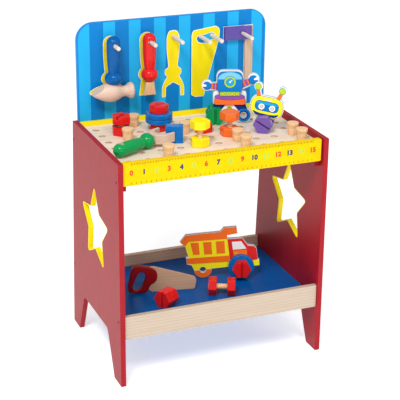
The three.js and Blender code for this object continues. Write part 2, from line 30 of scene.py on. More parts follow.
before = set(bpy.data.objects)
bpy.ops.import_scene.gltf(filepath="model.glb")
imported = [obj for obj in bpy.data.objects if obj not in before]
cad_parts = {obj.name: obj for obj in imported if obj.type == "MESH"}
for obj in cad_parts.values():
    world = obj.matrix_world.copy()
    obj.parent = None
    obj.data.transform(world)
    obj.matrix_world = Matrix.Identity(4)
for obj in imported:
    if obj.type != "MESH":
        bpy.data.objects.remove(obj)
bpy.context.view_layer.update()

MM = 0.001
FLAT_CAP = 0.995                 # a face this square to an outline's plane is shaded flat
SHARP = math.radians(34)         # edges steeper than this stay crisp
TOUCHING = 1e-3                  # points closer than this are one point
rng = random.Random(11)


# ---- Sizes that the pieces share, in millimetres -------------------------------------------------

PANEL = {"height": 490, "lean": 33, "arch_top": 81, "arch_bottom": 123, "arch_height": 96}
STAR = {"y": -10, "z": 298, "outer": 88, "inner": 46, "points": 5, "tip": 9, "notch": 4, "rim": 2.6}
SCREWS = [(-154.8, 448.9), (-155.5, 144.5), (130, 449.6), (149.1, 149.9)]
SCREW = {"radius": 2.9, "socket": 1.5, "sunk": 0.5}
PRINT = 0.12                     # thickness of a printed layer
CORNER_SHARE = 0.45              # a rounded corner takes at most this share of a side
LEAST_MITRE = 0.35               # keeps sharp corners from running far out when an outline grows
BOARD_CORNER = 38
BOARD_HOLE = 4.75                # radius of a dowel's hole in the board
HOLES = {"pitch": 42.3, "columns": 10, "rows": 6, "radius": 7, "centre": (-1.5, -16)}
HEX = {"flats": 36.4, "height": 17, "nut": 17.5, "slot": 4, "slot_depth": 6, "ease": 1.1}
THREAD = {
    "radius": 6.4, "depth": 1.0, "pitch": 6, "chamfer": 1.2, "sides": 40, "rod_rows": 10, "bore_rows": 8,
    "bore": 7.0, "inset": 0.1, "crest": 0.5, "bite": 0.15,
}
SHANK = 42
PEGS = 8
PLATE = 9
ROBOT = {"stride": 61, "foot": 18, "foot_radius": 17}
TRUCK = {"wheel_base": 85.5, "rear_wheel": 19.5, "front_wheel": 29, "hub": 17}

# Turns of the pieces about their own axes, in degrees.
TURNS = {
    "red_bolt": 44, "red_nut": 48, "yellow_bolt": 8, "yellow_nut": 51, "orange_bolt": 12,
    "orange_nut": 59, "wheel_bolt": 17, "wheel_nut": 40, "spare_red_nut": 44,
}
STANDING = {"robot": -21, "small_robot": -32, "truck": -19, "saw": -11}
SMALL_ROBOT_TILT = -9
TRUCK_PITCH = math.degrees(math.asin((TRUCK["front_wheel"] - TRUCK["rear_wheel"]) / TRUCK["wheel_base"]))
WRENCH_TURN = 27
WRENCH_LIFT = 1.6                # its ball is a little fuller than the CAD node's
BLOCK_TURN = -22
SHELF_PAIRS = {"tight_pair": (32, 29), "open_pair": (154, SHANK)}   # turn and length of shank


# ---- Materials -----------------------------------------------------------------------------------

WHITE = (1, 1, 1, 1)


def srgb(red, green, blue):
    """A shader colour from a colour's usual 0 to 255 numbers."""
    share = [value / 255 for value in (red, green, blue)]
    return [s / 12.92 if s <= 0.04045 else ((s + 0.055) / 1.055) ** 2.4 for s in share] + [1]


class Nodes:
    """A material's node tree, with short ways to add and join its nodes."""

    def __init__(self, name):
        self.material = bpy.data.materials.new(name)
        self.material.use_nodes = True
        self.tree = self.material.node_tree
        self.shader = self.tree.nodes["Principled BSDF"]

    def add(self, kind, settings=None, **inputs):
        node = self.tree.nodes.new(kind)
        for name, value in (settings or {}).items():
            setattr(node, name, value)
        for name, value in inputs.items():
            socket = node.inputs[name.replace("_", " ")]
            if isinstance(value, bpy.types.NodeSocket):
                self.tree.links.new(value, socket)
            else:
                socket.default_value = value
        return node

    def place(self, stretch):
        """The piece's own coordinates in mm, its grain along X, scaled by a stretch."""
        grain = self.add("ShaderNodeAttribute", {"attribute_name": "grain"})
        mapping = self.add("ShaderNodeMapping", Vector=grain.outputs["Vector"])
        mapping.inputs["Scale"].default_value = stretch
        return mapping.outputs["Vector"]

    def noise(self, stretch, detail=3, roughness=0.55):
        settings = {"Detail": detail, "Roughness": roughness, "Scale": 1, "Vector": self.place(stretch)}
        return self.add("ShaderNodeTexNoise", **settings).outputs["Fac"]

    def ramp(self, value, *stops):
        node = self.add("ShaderNodeValToRGB", Fac=value)
        elements = node.color_ramp.elements
        while len(elements) < len(stops):
            elements.new(0.5)
        for element, (position, colour) in zip(elements, stops):
            element.position = position
            element.color = colour
        return node.outputs["Color"]

    def spread(self, value, low, high):
        """A 0 to 1 value spread from low to high."""
        settings = {"To_Min": low, "To_Max": high, "From_Min": 0.25, "From_Max": 0.75, "Value": value}
        return self.add("ShaderNodeMapRange", **settings).outputs["Result"]

    def mix(self, factor, first, second, blend="MIX"):
        node = self.tree.nodes.new("ShaderNodeMix")
        node.data_type = "RGBA"
        node.blend_type = blend
        for socket, value in zip([node.inputs[0], node.inputs[6], node.inputs[7]], (factor, first, second)):
            if isinstance(value, bpy.types.NodeSocket):
                self.tree.links.new(value, socket)
            else:
                socket.default_value = value
        return node.outputs[2]

    def bump(self, height, distance, over=None):
        """A bump of some millimetres, on top of another where one is given."""
        node = self.add("ShaderNodeBump", Height=height, Distance=distance * MM, Strength=1.0)
        if over:
            self.tree.links.new(over, node.inputs["Normal"])
        return node.outputs["Normal"]

    def finish(self, colour, roughness, normal):
        links = self.tree.links
        links.new(colour, self.shader.inputs["Base Color"])
        links.new(roughness, self.shader.inputs["Roughness"])
        links.new(normal, self.shader.inputs["Normal"])
        return self.material


def shade(colour, factor):
    return [min(1, c * factor) for c in colour[:3]] + [1]


def paint(name, colour, roughness, grain=0.05, gloss=0.2):
    """Paint on wood: slightly uneven colour, faint grain that telegraphs through, soft orange peel."""
    nodes, colour = Nodes(name), srgb(*colour)
    clouds = nodes.noise((0.02, 0.05, 0.05), 2)
    fibres = nodes.noise((0.03, 0.9, 0.9), 4, 0.6)
    peel = nodes.noise((0.9, 0.9, 0.9), 2)
    mottled = nodes.ramp(clouds, (0.3, shade(colour, 0.94)), (0.7, shade(colour, 1.05)))
    streaks = nodes.ramp(fibres, (0.35, (0.93, 0.93, 0.93, 1)), (0.6, WHITE))
    base = nodes.mix(0.6, mottled, streaks, "MULTIPLY")
    rough = nodes.spread(fibres, roughness - 0.05, roughness + 0.06)
    rounded = nodes.bump(fibres, grain)
    nodes.shader.inputs["Specular IOR Level"].default_value = gloss
    return nodes.finish(base, rough, nodes.bump(peel, 0.02, rounded))


def timber(name, light, dark, contrast, roughness):
    """Lacquered wood: growth rings about an axis well off the piece, and fibres along X."""
    nodes, light, dark = Nodes(name), srgb(*light), srgb(*dark)
    wander = nodes.noise((0.004, 0.03, 0.03), 2)
    settings = {"wave_type": "RINGS", "rings_direction": "X", "wave_profile": "SIN"}
    growth = nodes.add("ShaderNodeTexWave", settings, Vector=nodes.place((0.02, 1, 1)), Scale=0.05,
                       Distortion=1.2, Detail=1, Detail_Scale=0.03).outputs["Fac"]
    streaks = nodes.noise((0.006, 0.34, 0.34), 3, 0.6)
    fibres = nodes.noise((0.03, 1.6, 1.6), 4, 0.6)
    base = nodes.ramp(wander, (0.3, shade(light, 0.97)), (0.7, shade(light, 1.03)))
    shadow = [d / l for d, l in zip(dark, light)]
    late = nodes.ramp(growth, (0.62, WHITE), (0.95, shadow))
    base = nodes.mix(contrast, base, late, "MULTIPLY")
    broad = nodes.ramp(streaks, (0.3, shadow), (0.6, WHITE))
    base = nodes.mix(contrast, base, broad, "MULTIPLY")
    fine = nodes.ramp(fibres, (0.32, (0.88, 0.84, 0.79, 1)), (0.55, WHITE))
    base = nodes.mix(0.6, base, fine, "MULTIPLY")
    rough = nodes.spread(fibres, roughness - 0.07, roughness + 0.08)
    nodes.shader.inputs["Specular IOR Level"].default_value = 0.35
    return nodes.finish(base, rough, nodes.bump(fibres, 0.06))


def ink(name, colour, roughness=0.42):
    """Printed ink on a sealed face, with a fine screen of uneven density."""
    nodes, colour = Nodes(name), srgb(*colour)
    nodes.shader.inputs["Specular IOR Level"].default_value = 0.14
    density = nodes.noise((0.5, 0.5, 0.5), 3)
    clouds = nodes.noise((0.03, 0.03, 0.03), 2)
    base = nodes.ramp(density, (0.3, shade(colour, 0.96)), (0.7, shade(colour, 1.03)))
    mottled = nodes.mix(0.5, base, nodes.ramp(clouds, (0.3, shade(colour, 0.95)), (0.7, colour)))
    rough = nodes.spread(density, roughness - 0.05, roughness + 0.05)
    return nodes.finish(mottled, rough, nodes.bump(density, 0.01))


def steel(name):
    """Blackened screw steel."""
    nodes = Nodes(name)
    grit = nodes.noise((2, 2, 2), 3)
    nodes.shader.inputs["Metallic"].default_value = 0.8
    base = nodes.ramp(grit, (0.3, srgb(50, 38, 38)), (0.7, srgb(82, 62, 60)))
    return nodes.finish(base, nodes.spread(grit, 0.35, 0.5), nodes.bump(grit, 0.03))


def floor_finish():
    nodes = Nodes("floor")
    coordinates = nodes.add("ShaderNodeTexCoord").outputs["Object"]
    cloud = nodes.add("ShaderNodeTexNoise", Vector=coordinates, Scale=2.0, Detail=2).outputs["Fac"]
    base = nodes.ramp(cloud, (0.3, (0.955, 0.955, 0.955, 1)), (0.7, (0.97, 0.97, 0.97, 1)))
    nodes.shader.inputs["Emission Color"].default_value = WHITE
    nodes.shader.inputs["Emission Strength"].default_value = 0.45
    return nodes.finish(base, nodes.spread(cloud, 0.7, 0.8), nodes.bump(cloud, 0.01))


COLOURS = {
    "red": (214, 28, 26), "blue": (0, 108, 186), "yellow": (250, 226, 0),
    "orange": (240, 110, 40), "green": (0, 148, 74), "purple": (116, 88, 168),
}
TOY = {name: paint(f"toy_{name}", colour, 0.17, 0.03, 0.24) for name, colour in COLOURS.items()}
PANEL_RED = paint("panel_red", (157, 22, 33), 0.4, 0.05, 0.16)
RAIL_YELLOW = paint("rail_yellow", (246, 222, 0), 0.36)
# The apron's yellow is the rear rail's paint made darker and less glossy: painted shade that offsets the
# strong light on its front face.
SHADED_APRON_YELLOW = paint("apron_yellow_painted_shade", (228, 190, 0), 0.42, 0.04, 0.06)
BOARD_BLUE = paint("board_blue", (0, 126, 200), 0.3)
SHELF_BLUE = paint("shelf_blue", (0, 80, 154), 0.3, 0.02, 0.1)
SAW_RED = paint("saw_red", (134, 14, 18), 0.32, 0.05, 0.14)
HANDLE_BLUE = paint("handle_blue", (0, 84, 152), 0.15, 0.03, 0.16)
STOCK_PURPLE = paint("stock_purple", (92, 74, 152), 0.3)
TOP_WOOD = timber("top_plywood", (238, 222, 203), (218, 194, 168), 0.3, 0.45)
# The shelf's front rail is the same pine as its back rail, made darker and greyer: painted shade.
SHADED_PINE = timber("pine_painted_shade", (192, 176, 158), (172, 146, 122), 0.3, 0.42)
PINE = timber("pine", (230, 200, 172), (196, 156, 120), 0.4, 0.42)
HOLE_WOOD = timber("hole_wood", (218, 192, 162), (178, 146, 114), 0.4, 0.6)
BEECH = timber("beech", (236, 196, 150), (204, 148, 98), 0.22, 0.48)
MAPLE = timber("maple", (214, 186, 168), (190, 150, 122), 0.16, 0.5)
SAW_WOOD = timber("saw_wood", (196, 160, 130), (166, 126, 94), 0.25, 0.5)
BLADE_WOOD = timber("blade_wood", (204, 174, 148), (176, 140, 110), 0.25, 0.5)
END_GRAIN = timber("end_grain", (198, 176, 158), (168, 144, 124), 0.35, 0.55)
DOWEL_WOOD = timber("dowel_wood", (222, 210, 200), (190, 172, 158), 0.15, 0.5)
WHITE_PLY = ink("white_plywood", (240, 241, 243))
# The plates' edges are the white plywood made greyer: painted shade on their edges.
SHADED_PLY_EDGE = ink("plywood_edge_painted_shade", (196, 201, 208), 0.5)
SCREW_STEEL = steel("screw_steel")

INKS = {
    "white": (246, 246, 246), "sky": (28, 164, 220), "deep_sky": (0, 118, 190),
    "yellow": (255, 244, 30), "orange": (255, 116, 34), "red": (226, 40, 38),
    "lime": (168, 208, 52), "navy": (14, 52, 130), "blue": (0, 122, 200),
    "pale_blue": (118, 196, 236), "purple": (150, 84, 176),
    "gold": (232, 212, 10), "brown": (84, 66, 10), "green": (150, 200, 84),
    "digit_red": (238, 70, 40), "digit_blue": (0, 56, 98), "grey": (206, 210, 218),
}
INK = {name: ink(f"ink_{name}", colour) for name, colour in INKS.items()}


# ---- Outlines ------------------------------------------------------------------------------------


def eased(corners, closed=True, steps=7):
    """An outline through (x, y, corner) points, each corner rounded over about that length."""
    points = []
    for i, (x, y, *rest) in enumerate(corners):
        here = Vector((x, y))
        end = not closed and i in (0, len(corners) - 1)
        if end or not rest or not rest[0]:
            points.append(here)
            continue
        ways = [Vector(corners[k % len(corners)][:2]) - here for k in (i - 1, i + 1)]
        enter, leave = [here + way * min(rest[0], way.length * CORNER_SHARE) / way.length for way in ways]
        for k in range(steps + 1):
            t = k / steps
            points.append(enter.lerp(here, t).lerp(here.lerp(leave, t), t))
    return points


def rectangle(x0, y0, x1, y1, corner=0):
    return eased([(x0, y0, corner), (x1, y0, corner), (x1, y1, corner), (x0, y1, corner)])


def arc(x, y, radius, start, end, steps=24, squash=1.0):
    """Points of an arc in degrees; squash makes it an ellipse."""
    angles = [math.radians(start + (end - start) * k / steps) for k in range(steps + 1)]
    return [Vector((x + radius * math.cos(a), y + squash * radius * math.sin(a))) for a in angles]


def circle(x, y, radius, sides=48, squash=1.0):
    return arc(x, y, radius, 0, 360, sides, squash)[:-1]


def hexagon(flats):
    return circle(0, 0, flats / math.sqrt(3), 6)


def mirrored(half):
    """A closed outline from its right half, listed from top to bottom along x >= 0."""
    return list(half) + [Vector((-p[0], p[1])) for p in reversed(half) if abs(p[0]) > 1e-6]


def shifted(points, x, y):
    return [Vector((p[0] + x, p[1] + y)) for p in points]


def grown(points, by):
    """An outline moved outwards by a distance, or inwards where it is negative."""
    count = len(points)
    pairs = [(Vector(points[i]), Vector(points[(i + 1) % count])) for i in range(count)]
    turning = sum(a.x * b.y - b.x * a.y for a, b in pairs)
    side = 1 if turning > 0 else -1
    normals = [Vector((b.y - a.y, a.x - b.x)).normalized() * side for a, b in pairs]
    result = []
    for i, (here, _) in enumerate(pairs):
        both = normals[i - 1] + normals[i]
        result.append(here + both * by / max(1 + normals[i - 1].dot(normals[i]), LEAST_MITRE))
    return result


def star(grow=0.0):
    corners = []
    for i in range(2 * STAR["points"]):
        a = math.pi / 2 + i * math.pi / STAR["points"]
        tip = i % 2 == 0
        radius = STAR["outer"] if tip else STAR["inner"]
        corner = STAR["tip"] if tip else STAR["notch"]
        corners.append((STAR["y"] + radius * math.cos(a), STAR["z"] + radius * math.sin(a), corner))
    outline = eased(corners)
    return grown(outline, grow) if grow else outline


# ---- Meshes, in millimetres ----------------------------------------------------------------------


def linked(name, data):
    """A new object in the scene."""
    thing = bpy.data.objects.new(name, data)
    bpy.context.scene.collection.objects.link(thing)
    return thing


def evaluated(data, **modifiers):
    """The mesh that some data gives with modifiers: each is KIND={setting: value}."""
    holder = linked("work", data)
    for kind, settings in modifiers.items():
        modifier = holder.modifiers.new(kind, kind)
        for name, value in settings.items():
            setattr(modifier, name, value)
    graph = bpy.context.evaluated_depsgraph_get()
    mesh = bpy.data.meshes.new_from_object(holder.evaluated_get(graph))
    bpy.data.objects.remove(holder)
    return mesh


def flatten_caps(mesh):
    """Faces square to Z are shaded flat, and all others smooth."""
    for face in mesh.polygons:
        face.use_smooth = abs(face.normal.z) < FLAT_CAP
    return mesh


def into(bm, mesh):
    """Writes a bmesh into a mesh and lets it go."""
    bm.to_mesh(mesh)
    bm.free()
    return mesh


def outward(bm, name):
    """A new mesh from a bmesh, its faces turned outwards."""
    bmesh.ops.recalc_face_normals(bm, faces=bm.faces)
    return into(bm, bpy.data.meshes.new(name))


def weld(mesh):
    bm = bmesh.new()
    bm.from_mesh(mesh)
    bmesh.ops.remove_doubles(bm, verts=bm.verts, dist=TOUCHING)
    bmesh.ops.dissolve_degenerate(bm, edges=bm.edges, dist=TOUCHING / 10)
    bmesh.ops.recalc_face_normals(bm, faces=bm.faces)
    return into(bm, mesh)


def plate(outlines, thickness, ease=0.6, start=0.0, rounds=2):
    """Outlines in X and Y, holes among them, made solid along Z from start, with eased edges."""
    curve = bpy.data.curves.new("outline", "CURVE")
    curve.dimensions = "2D"
    curve.fill_mode = "BOTH"
    curve.extrude = thickness / 2 - ease
    curve.bevel_depth = ease
    curve.bevel_resolution = rounds
    curve.offset = -ease
    for points in outlines:
        spline = curve.splines.new("POLY")
        spline.points.add(len(points) - 1)
        for knot, point in zip(spline.points, points):
            knot.co = (point[0], point[1], 0, 1)
        spline.use_cyclic_u = True
    mesh = weld(evaluated(curve))
    mesh.transform(Matrix.Translation((0, 0, start + thickness / 2)))
    return flatten_caps(mesh)


def loop(radius, z, sides):
    """A level loop of points about Z. Its radius is a number or a function of the angle."""
    angles = [2 * math.pi * k / sides for k in range(sides)]
    radii = [radius(a) if callable(radius) else radius for a in angles]
    return [(r * math.cos(a), r * math.sin(a), z) for r, a in zip(radii, angles)]


def skinned(rings):
    """A solid over rings of points, each ring of one length or a single point at an end."""
    bm = bmesh.new()
    rows = [[bm.verts.new(point) for point in ring] for ring in rings]
    for low, high in zip(rows, rows[1:]):
        count = max(len(low), len(high))
        for k in range(count):
            n = (k + 1) % count
            corners = [low[k % len(low)], low[n % len(low)], high[n % len(high)], high[k % len(high)]]
            bm.faces.new(dict.fromkeys(corners))
    return flatten_caps(outward(bm, "turned"))


def ringed(loops):
    """A ring-shaped solid through equal loops of points, the last one joined to the first."""
    bm = bmesh.new()
    rows = [[bm.verts.new(point) for point in points] for points in loops]
    for i, low in enumerate(rows):
        high = rows[(i + 1) % len(rows)]
        for k in range(len(low)):
            n = (k + 1) % len(low)
            bm.faces.new((low[k], low[n], high[n], high[k]))
    return flatten_caps(outward(bm, "ring"))


def turned(profile, sides=64):
    """A solid turned about Z from (radius, z) points that start and end on the axis."""
    return skinned([loop(radius, z, sides if radius > 1e-4 else 1) for radius, z in profile])


def turned_ring(profile):
    """A ring turned about Z from a closed profile that keeps clear of the axis."""
    return ringed([loop(radius, z, 96) for radius, z in profile])


def groove(z, angle, depth):
    """How deep the rounded helical thread is cut at a height and an angle."""
    phase = z / THREAD["pitch"] - angle / (2 * math.pi)
    return depth * (0.5 - 0.5 * math.cos(2 * math.pi * phase)) ** 2


def threaded_rod(low, high):
    """A wooden screw: a rod with a rounded thread that runs out at its end."""
    rows = round((high - low) / THREAD["pitch"] * THREAD["rod_rows"])
    rings = [[(0, 0, low)]]
    for i in range(rows + 1):
        z = low + (high - low) * i / rows
        chamfer = THREAD["chamfer"] * max(0, 1 - (z - low) / THREAD["chamfer"])
        rings.append(loop(
            lambda a: THREAD["radius"] - max(groove(z, a, THREAD["depth"]), chamfer), z, THREAD["sides"]))
    return skinned(rings + [[(0, 0, high)]])


def threaded_sleeve(low, high):
    """The cut wood inside a nut: a ring whose bore has the same thread."""
    sides = THREAD["sides"]
    rows = round((high - low) / THREAD["pitch"] * THREAD["bore_rows"])
    loops = [loop(THREAD["bore"] + THREAD["bite"], z, sides) for z in (high, low)]
    for i in range(rows + 1):
        z = low + (high - low) * i / rows
        loops.append(loop(
            lambda a: THREAD["bore"] - THREAD["inset"] - groove(z, a, THREAD["crest"]), z, sides))
    return ringed(loops)


def box(x, y, z, at=(0, 0, 0)):
    """A sharp block, used to cut other solids."""
    bm = bmesh.new()
    bmesh.ops.create_cube(bm, size=1)
    bmesh.ops.scale(bm, vec=(x, y, z), verts=bm.verts)
    bmesh.ops.translate(bm, vec=at, verts=bm.verts)
    return outward(bm, "box")


def rod(radius, low, high, sides=48):
    return turned([(0, low), (radius, low), (radius, high), (0, high)], sides)


def moved(mesh, matrix):
    mesh.transform(matrix if len(matrix) == 4 else matrix.to_4x4())
    return mesh


def shift(mesh, x=0, y=0, z=0):
    return moved(mesh, Matrix.Translation((x, y, z)))


def spin(mesh, degrees, axis):
    return moved(mesh, Matrix.Rotation(math.radians(degrees), 4, axis))


def carved(body, tool, operation="DIFFERENCE"):
    cutter = linked("cutter", tool)
    settings = {"object": cutter, "operation": operation, "solver": "EXACT"}
    mesh = evaluated(body, BOOLEAN=settings)
    bpy.data.objects.remove(cutter)
    return mesh


def tidied(mesh):
    """Flat areas as single faces, so that an edge bevel has clean ground."""
    bm = bmesh.new()
    bm.from_mesh(mesh)
    bmesh.ops.remove_doubles(bm, verts=bm.verts, dist=TOUCHING)
    bmesh.ops.dissolve_limit(bm, angle_limit=math.radians(1), verts=bm.verts, edges=bm.edges)
    return into(bm, mesh)


def softened(mesh, width, segments=3, angle=30):
    settings = {"width": width, "segments": segments, "limit_method": "ANGLE",
                "angle_limit": math.radians(angle), "use_clamp_overlap": False}
    result = evaluated(mesh, BEVEL=settings)
    for face in result.polygons:
        face.use_smooth = True
    return result


# ---- Placing -------------------------------------------------------------------------------------


def along(direction, phase=0.0):
    """Axes whose Z runs along a direction and whose X is level, turned about Z by phase degrees."""
    z = Vector(direction).normalized()
    x = Vector((0, 0, 1)).cross(z)
    x = x.normalized() if x.length > 1e-6 else Vector((1, 0, 0))
    axes = Matrix((x, z.cross(x), z)).transposed()
    return axes @ Matrix.Rotation(math.radians(phase), 3, "Z")


def facing(turn, phase=0.0):
    """Axes of a standing plate: X along it, Y up, and Z out of its front."""
    a = math.radians(turn)
    return along((math.sin(a), -math.cos(a), 0), phase)


def lying(turn):
    """Axes of a turned piece lying level, its Z some degrees round from -X."""
    a = math.radians(turn)
    return along((-math.cos(a), -math.sin(a), 0), 90)


UP = Matrix.Identity(3)
FRONT = facing(0)
SIDE = Matrix(((0, 0, 1), (1, 0, 0), (0, 1, 0)))     # X and Y of a side panel's outline lie along Y and Z


def turned_box(node, axes=UP):
    """A CAD node's lowest and highest corner along some axes, in millimetres."""
    back = axes.transposed()
    points = [back @ v.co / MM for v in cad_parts[node].data.vertices]
    spans = list(zip(*points))
    return Vector([min(s) for s in spans]), Vector([max(s) for s in spans])


def at(point, axes=UP):
    """A matrix with its origin at a point in mm, given along the world's axes."""
    return Matrix.Translation(Vector(point) * MM) @ axes.to_4x4()


def seat(node, axes=UP, share=(0.5, 0.5, 0), shift=(0, 0, 0)):
    """A matrix whose origin is at a share of the CAD node's box along the axes, then moved by shift."""
    low, high = turned_box(node, axes)
    spot = Vector([low[k] + (high[k] - low[k]) * share[k] + shift[k] for k in range(3)])
    return at(axes @ spot, axes)


GRAIN = {"X": (0, 1, 2), "Y": (1, 2, 0), "Z": (2, 0, 1)}     # the grain runs along this axis
PITH = 90                        # how far off a piece its tree's heart is, at least
LOG = 400                        # half the length of the log that a piece comes from


def piece(name, parts, place, body, nodes=(), grain="X"):
    """Joins (mesh, material) parts in mm into one object on a body, with its grain coordinates."""
    materials = []
    bm = bmesh.new()
    for mesh, *finishes in parts:
        first = len(bm.faces)
        bm.from_mesh(mesh)
        bm.faces.ensure_lookup_table()
        for face in bm.faces[first:]:
            finish = finishes[min(face.material_index, len(finishes) - 1)]
            if finish not in materials:
                materials.append(finish)
            face.material_index = materials.index(finish)
    data = into(bm, bpy.data.meshes.new(name))
    for material in materials:
        data.materials.append(material)
    offset = Vector((rng.uniform(-LOG, LOG), rng.uniform(PITH, 2 * PITH), rng.uniform(PITH, 2 * PITH)))
    layer = data.attributes.new("grain", "FLOAT_VECTOR", "POINT")
    values = []
    for vertex in data.vertices:
        values.extend(Vector([vertex.co[k] for k in GRAIN[grain]]) + offset)
    layer.data.foreach_set("vector", values)
    data.transform(Matrix.Scale(MM, 4))
    data.set_sharp_from_angle(angle=SHARP)
    thing = linked(name, data)
    modifier = thing.modifiers.new("normals", "WEIGHTED_NORMAL")
    modifier.keep_sharp = True
    thing.matrix_world = place
    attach(thing, body)
    if nodes:
        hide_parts(*nodes)


def printed(*outlines, layer=1):
    """A thin printed layer over a face at z = 0: outlines in X and Y, holes among them."""
    return plate(outlines, PRINT, 0, (layer - 1) * PRINT)


# ---- Frame of the bench --------------------------------------------------------------------------


def screw_head():
    """A sunk cap with a hexagonal socket."""
    r = SCREW["radius"]
    cap = turned([(0, -3), (r, -3), (r, -0.4), (r - 0.4, 0), (0, 0)], 32)
    socket = plate([hexagon(2 * SCREW["socket"])], 4, 0, -1.6)
    return carved(cap, socket)


def side_panel(side):
    name = f"{side}_side_panel"
    low, high = turned_box(name)
    front, rear, height = low.y, high.y, PANEL["height"]
    foot, head, top = PANEL["arch_bottom"], PANEL["arch_top"], PANEL["arch_height"]
    outline = eased([
        (front, 0, 2), (-foot, 0), (-head, top, 9), (head, top, 9),
        (foot, 0), (rear, 0, 2), (rear - PANEL["lean"], height, 3), (front, height, 3),
    ])
    thickness = high.x - low.x
    holes = [circle(y, z, SCREW["radius"] + 0.1, 24) for y, z in SCREWS]
    body = plate([outline, star(), *holes], thickness - 2 * PRINT, 1.0, PRINT)
    centre = Vector((STAR["y"], STAR["z"]))
    for face in body.polygons:
        wall = abs(face.normal.z) < FLAT_CAP
        near = (face.center.xy - centre).length < STAR["outer"]
        face.material_index = 1 if wall and near else 0
    rims = [plate([star(STAR["rim"]), star(0.9)], PRINT, 0, z) for z in (0, thickness - PRINT)]
    place = at((low.x, 0, 0), SIDE)
    parts = [(body, PANEL_RED, RAIL_YELLOW)] + [(rim, RAIL_YELLOW) for rim in rims]
    piece(f"{side}_panel", parts, place, "bench", [name], "Y")
    sunk = PRINT + SCREW["sunk"]
    heads = []
    for y, z in SCREWS:
        head = screw_head()
        if side == "left":
            spin(head, 180, "X")
        heads.append((shift(head, y, z, sunk if side == "left" else thickness - sunk), SCREW_STEEL))
    piece(f"{side}_panel_screws", heads, place, "bench")


side_panel("left")
side_panel("right")


def rail(node, name, finish):
    low, high = turned_box(node)
    body = plate([rectangle(low.x, low.z, high.x, high.z, 1)], high.y - low.y, 0.9)
    piece(name, [(body, finish)], at((0, high.y, 0), FRONT), "bench", [node])


def cleat(side):
    node = f"{side}_top_cleat"
    low, high = turned_box(node)
    body = plate([rectangle(low.y, low.z, high.y, high.z, 1)], high.x - low.x, 0.8)
    piece(f"{side}_cleat", [(body, PANEL_RED)], at((low.x, 0, 0), SIDE), "bench", [node])


def shelf():
    low, high = turned_box("shelf_board")
    body = plate([rectangle(low.x, low.y, high.x, high.y, 1)], high.z - low.z, 0.6, low.z)
    piece("shelf", [(body, SHELF_BLUE)], at((0, 0, 0)), "bench", ["shelf_board"])


RULER = {
    "first": -200.5, "inch": 26.4, "last": 15, "z": 467, "size": 14.2, "bold": 0.055,
    "top_margin": 1.0, "foot_margin": 3.2,
}
TICK = {"width": 1.0, "short": 4.0, "long": 5.6, "eighths": 8}
CENTIMETRES = 2.54               # in an inch
DIGIT_INKS = ("digit_red", "digit_blue", "green")


def digits(text):
    """Printed figures, centred, as a thin solid from z = 0."""
    font = bpy.data.curves.new("figures", "FONT")
    font.body = text
    font.size = RULER["size"]
    font.align_x = "CENTER"
    font.align_y = "CENTER"
    font.offset = RULER["bold"] * RULER["size"]
    font.extrude = PRINT / 2
    font.resolution_u = 4
    return flatten_caps(shift(weld(evaluated(font)), z=PRINT / 2))


def ticks(places, low, high):
    half = TICK["width"] / 2
    return printed(*[rectangle(x - half, low, x + half, high) for x in places])


def ruler(low, high):
    """Figures every inch, eighths along the upper edge and centimetres along the lower one."""
    first, inch, eighth = RULER["first"], RULER["inch"], TICK["eighths"]
    parts = []
    for k in range(RULER["last"] + 1):
        figure = shift(digits(str(k)), first + inch * k, RULER["z"])
        parts.append((figure, INK[DIGIT_INKS[k % len(DIGIT_INKS)]]))
    eighths = [first + inch * k / eighth for k in range(RULER["last"] * eighth + 1)]
    between = [x for k, x in enumerate(eighths) if k % eighth]
    count = int(RULER["last"] * CENTIMETRES)
    centimetres = [first + inch / CENTIMETRES * k for k in range(count + 1)]
    upper, lower = high.z - RULER["top_margin"], low.z + RULER["foot_margin"]
    for places, start, end in (
        (between, upper - TICK["short"], upper), (eighths[::eighth], upper - TICK["long"], upper),
        (centimetres, lower, lower + TICK["short"]),
    ):
        parts.append((ticks(places, start, end), INK["brown"]))
    return parts


def front_apron():
    low, high = turned_box("front_apron")
    thickness = high.y - low.y
    body = plate([rectangle(low.x, low.z, high.x, high.z, 4)], thickness, 1.3, 0, 3)
    # The apron's darkened yellow is painted shade.
    parts = [(body, SHADED_APRON_YELLOW)]
    parts += [(shift(mesh, z=thickness), finish) for mesh, finish in ruler(low, high)]
    piece("ruler_apron", parts, at((0, high.y, 0), FRONT), "bench", ["front_apron"])


front_apron()
rail("rear_top_rail", "rear_rail", RAIL_YELLOW)
# The front rail's darker, greyer pine is painted shade.
rail("shelf_front_rail", "shelf_rail_front", SHADED_PINE)
rail("shelf_back_rail", "shelf_rail_back", PINE)

cleat("left")
cleat("right")
shelf()


def bench_top():
    low, high = turned_box("bench_top")
    outlines = [rectangle(low.x, low.y, high.x, high.y, 1)]
    cx, cy = HOLES["centre"]
    for i in range(HOLES["columns"]):
        for j in range(HOLES["rows"]):
            x = cx + (i - (HOLES["columns"] - 1) / 2) * HOLES["pitch"]
            y = cy + (j - (HOLES["rows"] - 1) / 2) * HOLES["pitch"]
            outlines.append(circle(x, y, HOLES["radius"], 40))
    body = plate(outlines, high.z - low.z, 0.5, low.z)
    for face in body.polygons:
        inside = max(abs(face.center.x) - high.x, face.center.y - high.y, low.y - face.center.y) < -2
        face.material_index = 1 if inside and abs(face.normal.z) < FLAT_CAP else 0
    piece("top", [(body, TOP_WOOD, HOLE_WOOD)], at((0, 0, 0)), "bench", ["bench_top"])


bench_top()


# ---- Back board and its printed tools ------------------------------------------------------------

STRIPE = {"pitch": 57.0, "width": 26.5, "count": 8, "middle": -2.9, "side": 4.0, "top": 1.5}
DOWELS = (
    "hammer_peg", "screwdriver_peg", "pliers_peg", "saw_peg_left", "saw_peg_right", "square_peg")
OUTLINE = 0.95                   # white line round a printed tool
PRINT_DROP = 5.5                 # the hammer hangs this much above its printed place
DRIVER_DROP = 3                  # and the screwdriver this much above its own


